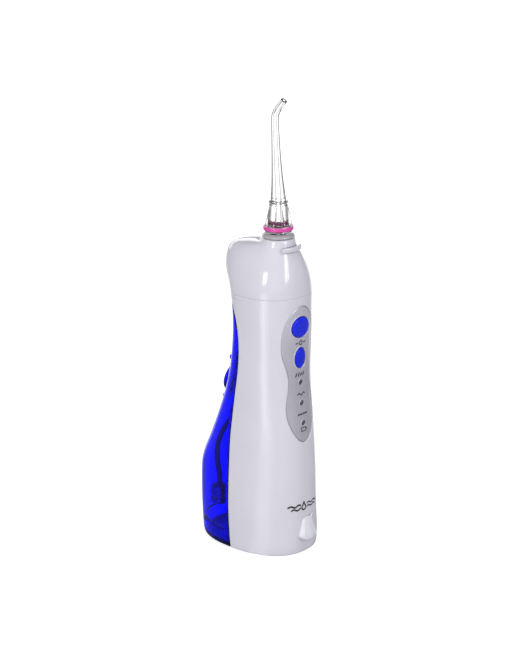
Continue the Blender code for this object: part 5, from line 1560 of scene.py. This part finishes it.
def floor_material():
    """Pale floor: a white sweep to the camera, darker with two soft bands in reflections."""
    look = new_material("floor_pale")
    ray = look.add("LightPath").outputs
    camera, glossy = ray["Is Camera Ray"], ray["Is Glossy Ray"]
    flat = look.vector("MULTIPLY", look.coords["Object"], (1, 1, 0))
    unit = look.vector("NORMALIZE", flat)

    def band(azimuth, outer, inner, strength):
        """Glow about an azimuth, fading from inner to outer degrees away from it."""
        along = look.vector("DOT_PRODUCT", unit, direction(azimuth, 0))
        return look.remap(along, high=strength, start=math.cos(math.radians(outer)),
                          end=math.cos(math.radians(inner)), interpolation_type="SMOOTHSTEP")

    bands = look.math("ADD", band(-101, outer=20, inner=3, strength=1.25),
                      band(50, outer=46, inner=26, strength=0.9))
    glow = look.math("MULTIPLY", glossy, bands)
    # light that the tank passes down to the floor under its own foot
    away = look.vector("LENGTH", look.vector("SUBTRACT", flat, (0, 0.036, 0)))
    under = look.remap(away, low=0.95, high=0.42, start=0.04, end=0.11,
                       interpolation_type="SMOOTHSTEP")
    glow = look.math("MULTIPLY_ADD", ray["Is Transmission Ray"], under, glow)
    glow = look.math("MULTIPLY_ADD", camera, 0.64, glow)
    keep = look.math("MULTIPLY_ADD", glossy, -0.45, 1.0)
    grey = look.add("CombineColor", {0: keep, 1: keep, 2: keep}).outputs[0]
    base = look.two_tone(look.noise(3.0), (0.70, 0.70, 0.71), (0.72, 0.72, 0.73))
    surface = look.add("BsdfPrincipled", {
        "Base Color": look.times(base, grey),
        "Roughness": 0.9,
        "Specular IOR Level": 0.0,
        "Emission Color": (1, 1, 1, 1),
        "Emission Strength": glow,
    })
    # from below the camera looks through the floor, so the underside can be seen
    sight = look.axes(look.add("NewGeometry").outputs["Incoming"])
    below = look.math("MULTIPLY", look.math("LESS_THAN", sight["Z"], 0.0), camera)
    see = look.add("MixShader", {0: below, 1: surface.outputs[0],
                                 2: look.add("BsdfTransparent").outputs[0]})
    look.add("OutputMaterial", {"Surface": see.outputs[0]})
    return look.owner


def studio_floor():
    """Round floor in metres, just below the product."""
    sides, radii = 48, (0.05, 0.2, 0.6, 2.0, 7.0, 20.0)
    turns = [2 * math.pi * k / sides for k in range(sides)]
    verts = [(radius * math.cos(turn), 0.015 + radius * math.sin(turn), 0.0)
             for radius in radii for turn in turns]
    faces = [tuple(range(sides))]
    for low in range(0, sides * (len(radii) - 1), sides):
        for k in range(sides):
            after = (k + 1) % sides
            faces.append((low + k, low + after, low + sides + after, low + sides + k))
    floor = to_object(from_arrays(verts, faces), "studio_floor", scale=1)
    floor.location.z = CAD_BOX[0][2] - 0.0002
    floor.data.materials.append(floor_material())


studio_floor()

# ---------------------------------------------------------------- view, world, lights, camera
scene = bpy.context.scene
scene.view_settings.view_transform = "Standard"
scene.view_settings.look = "None"
scene.view_settings.exposure = 0.0
scene.view_settings.gamma = 1.0


def studio_world():
    """Soft gradient, brightest high at the front left; plain white to the camera."""
    scene.world = bpy.data.worlds.new("studio")
    look = Shader(scene.world)
    bright = Vector((-0.66, -0.54, 0.52)).normalized()
    along = look.vector("DOT_PRODUCT", look.coords["Generated"], bright)
    gradient = look.remap(along, low=0.19, high=0.93, start=-0.62, end=0.92,
                          interpolation_type="SMOOTHSTEP")
    camera = look.add("LightPath").outputs["Is Camera Ray"]
    strength = look.add("Mix", {"Factor": camera, "A": gradient, "B": 1.02}, data_type="FLOAT")
    sky = look.add("Background", {"Color": (0.985, 0.99, 1.0, 1),
                                  "Strength": strength.outputs["Result"]})
    look.add("OutputWorld", {0: sky.outputs[0]})


def softbox(name, azimuth, elevation, distance, width, height, radiance, centre):
    """Rectangular light aimed at centre from a direction."""
    data = bpy.data.lights.new(name, "AREA")
    data.shape = "RECTANGLE"
    data.size, data.size_y = width, height
    data.energy = radiance * math.pi * width * height
    light = bpy.data.objects.new(name, data)
    scene.collection.objects.link(light)
    outward = direction(azimuth, elevation)
    light.location = Vector(centre) + outward * distance
    light.rotation_mode = "QUATERNION"
    light.rotation_quaternion = (-outward).to_track_quat("-Z", "Y")
    light.visible_camera = False
    return light


studio_world()
MIDDLE = (0, 0.01, 0.15)
# name, azimuth, elevation, distance, width, height, radiance, centre
LIGHTS = [
    ("back_panel", 34, 14.5, 1.9, 2.2, 0.52, 2.1, MIDDLE),
    ("window_side", -97, 19.5, 1.3, 0.27, 0.42, 12.0, MIDDLE),
    ("window_front", -178, 27, 1.3, 0.21, 0.86, 7.5, MIDDLE),
    ("window_front_b", 173, 28, 1.3, 0.17, 0.80, 6.5, MIDDLE),
    ("strip_wide", -101, 0, 0.34, 0.13, 0.16, 0.80, (0, 0.01, 0.078)),
    ("strip_narrow", -100, 0, 0.335, 0.05, 0.155, 1.5, (0, 0.01, 0.077)),
]
lights = {row[0]: softbox(*row) for row in LIGHTS}
lights["window_front_b"].visible_diffuse = False


def studio_camera():
    data = bpy.data.cameras.new("camera")
    camera = bpy.data.objects.new("camera", data)
    scene.collection.objects.link(camera)
    scene.camera = camera
    azimuth, elevation = 49.0, -17.01
    forward = direction(azimuth, elevation)
    right = direction(azimuth + 90, 0)
    rotation = Matrix((right, right.cross(forward), -forward)).transposed()
    camera.location = (-0.7776, -0.6759, 0.4630)
    camera.rotation_mode = "QUATERNION"
    camera.rotation_quaternion = rotation.to_quaternion()
    data.sensor_width = 36.0
    data.lens = 94.53
    data.shift_x, data.shift_y = -0.0333, -0.00545
    data.clip_start, data.clip_end = 0.02, 60.0


studio_camera()
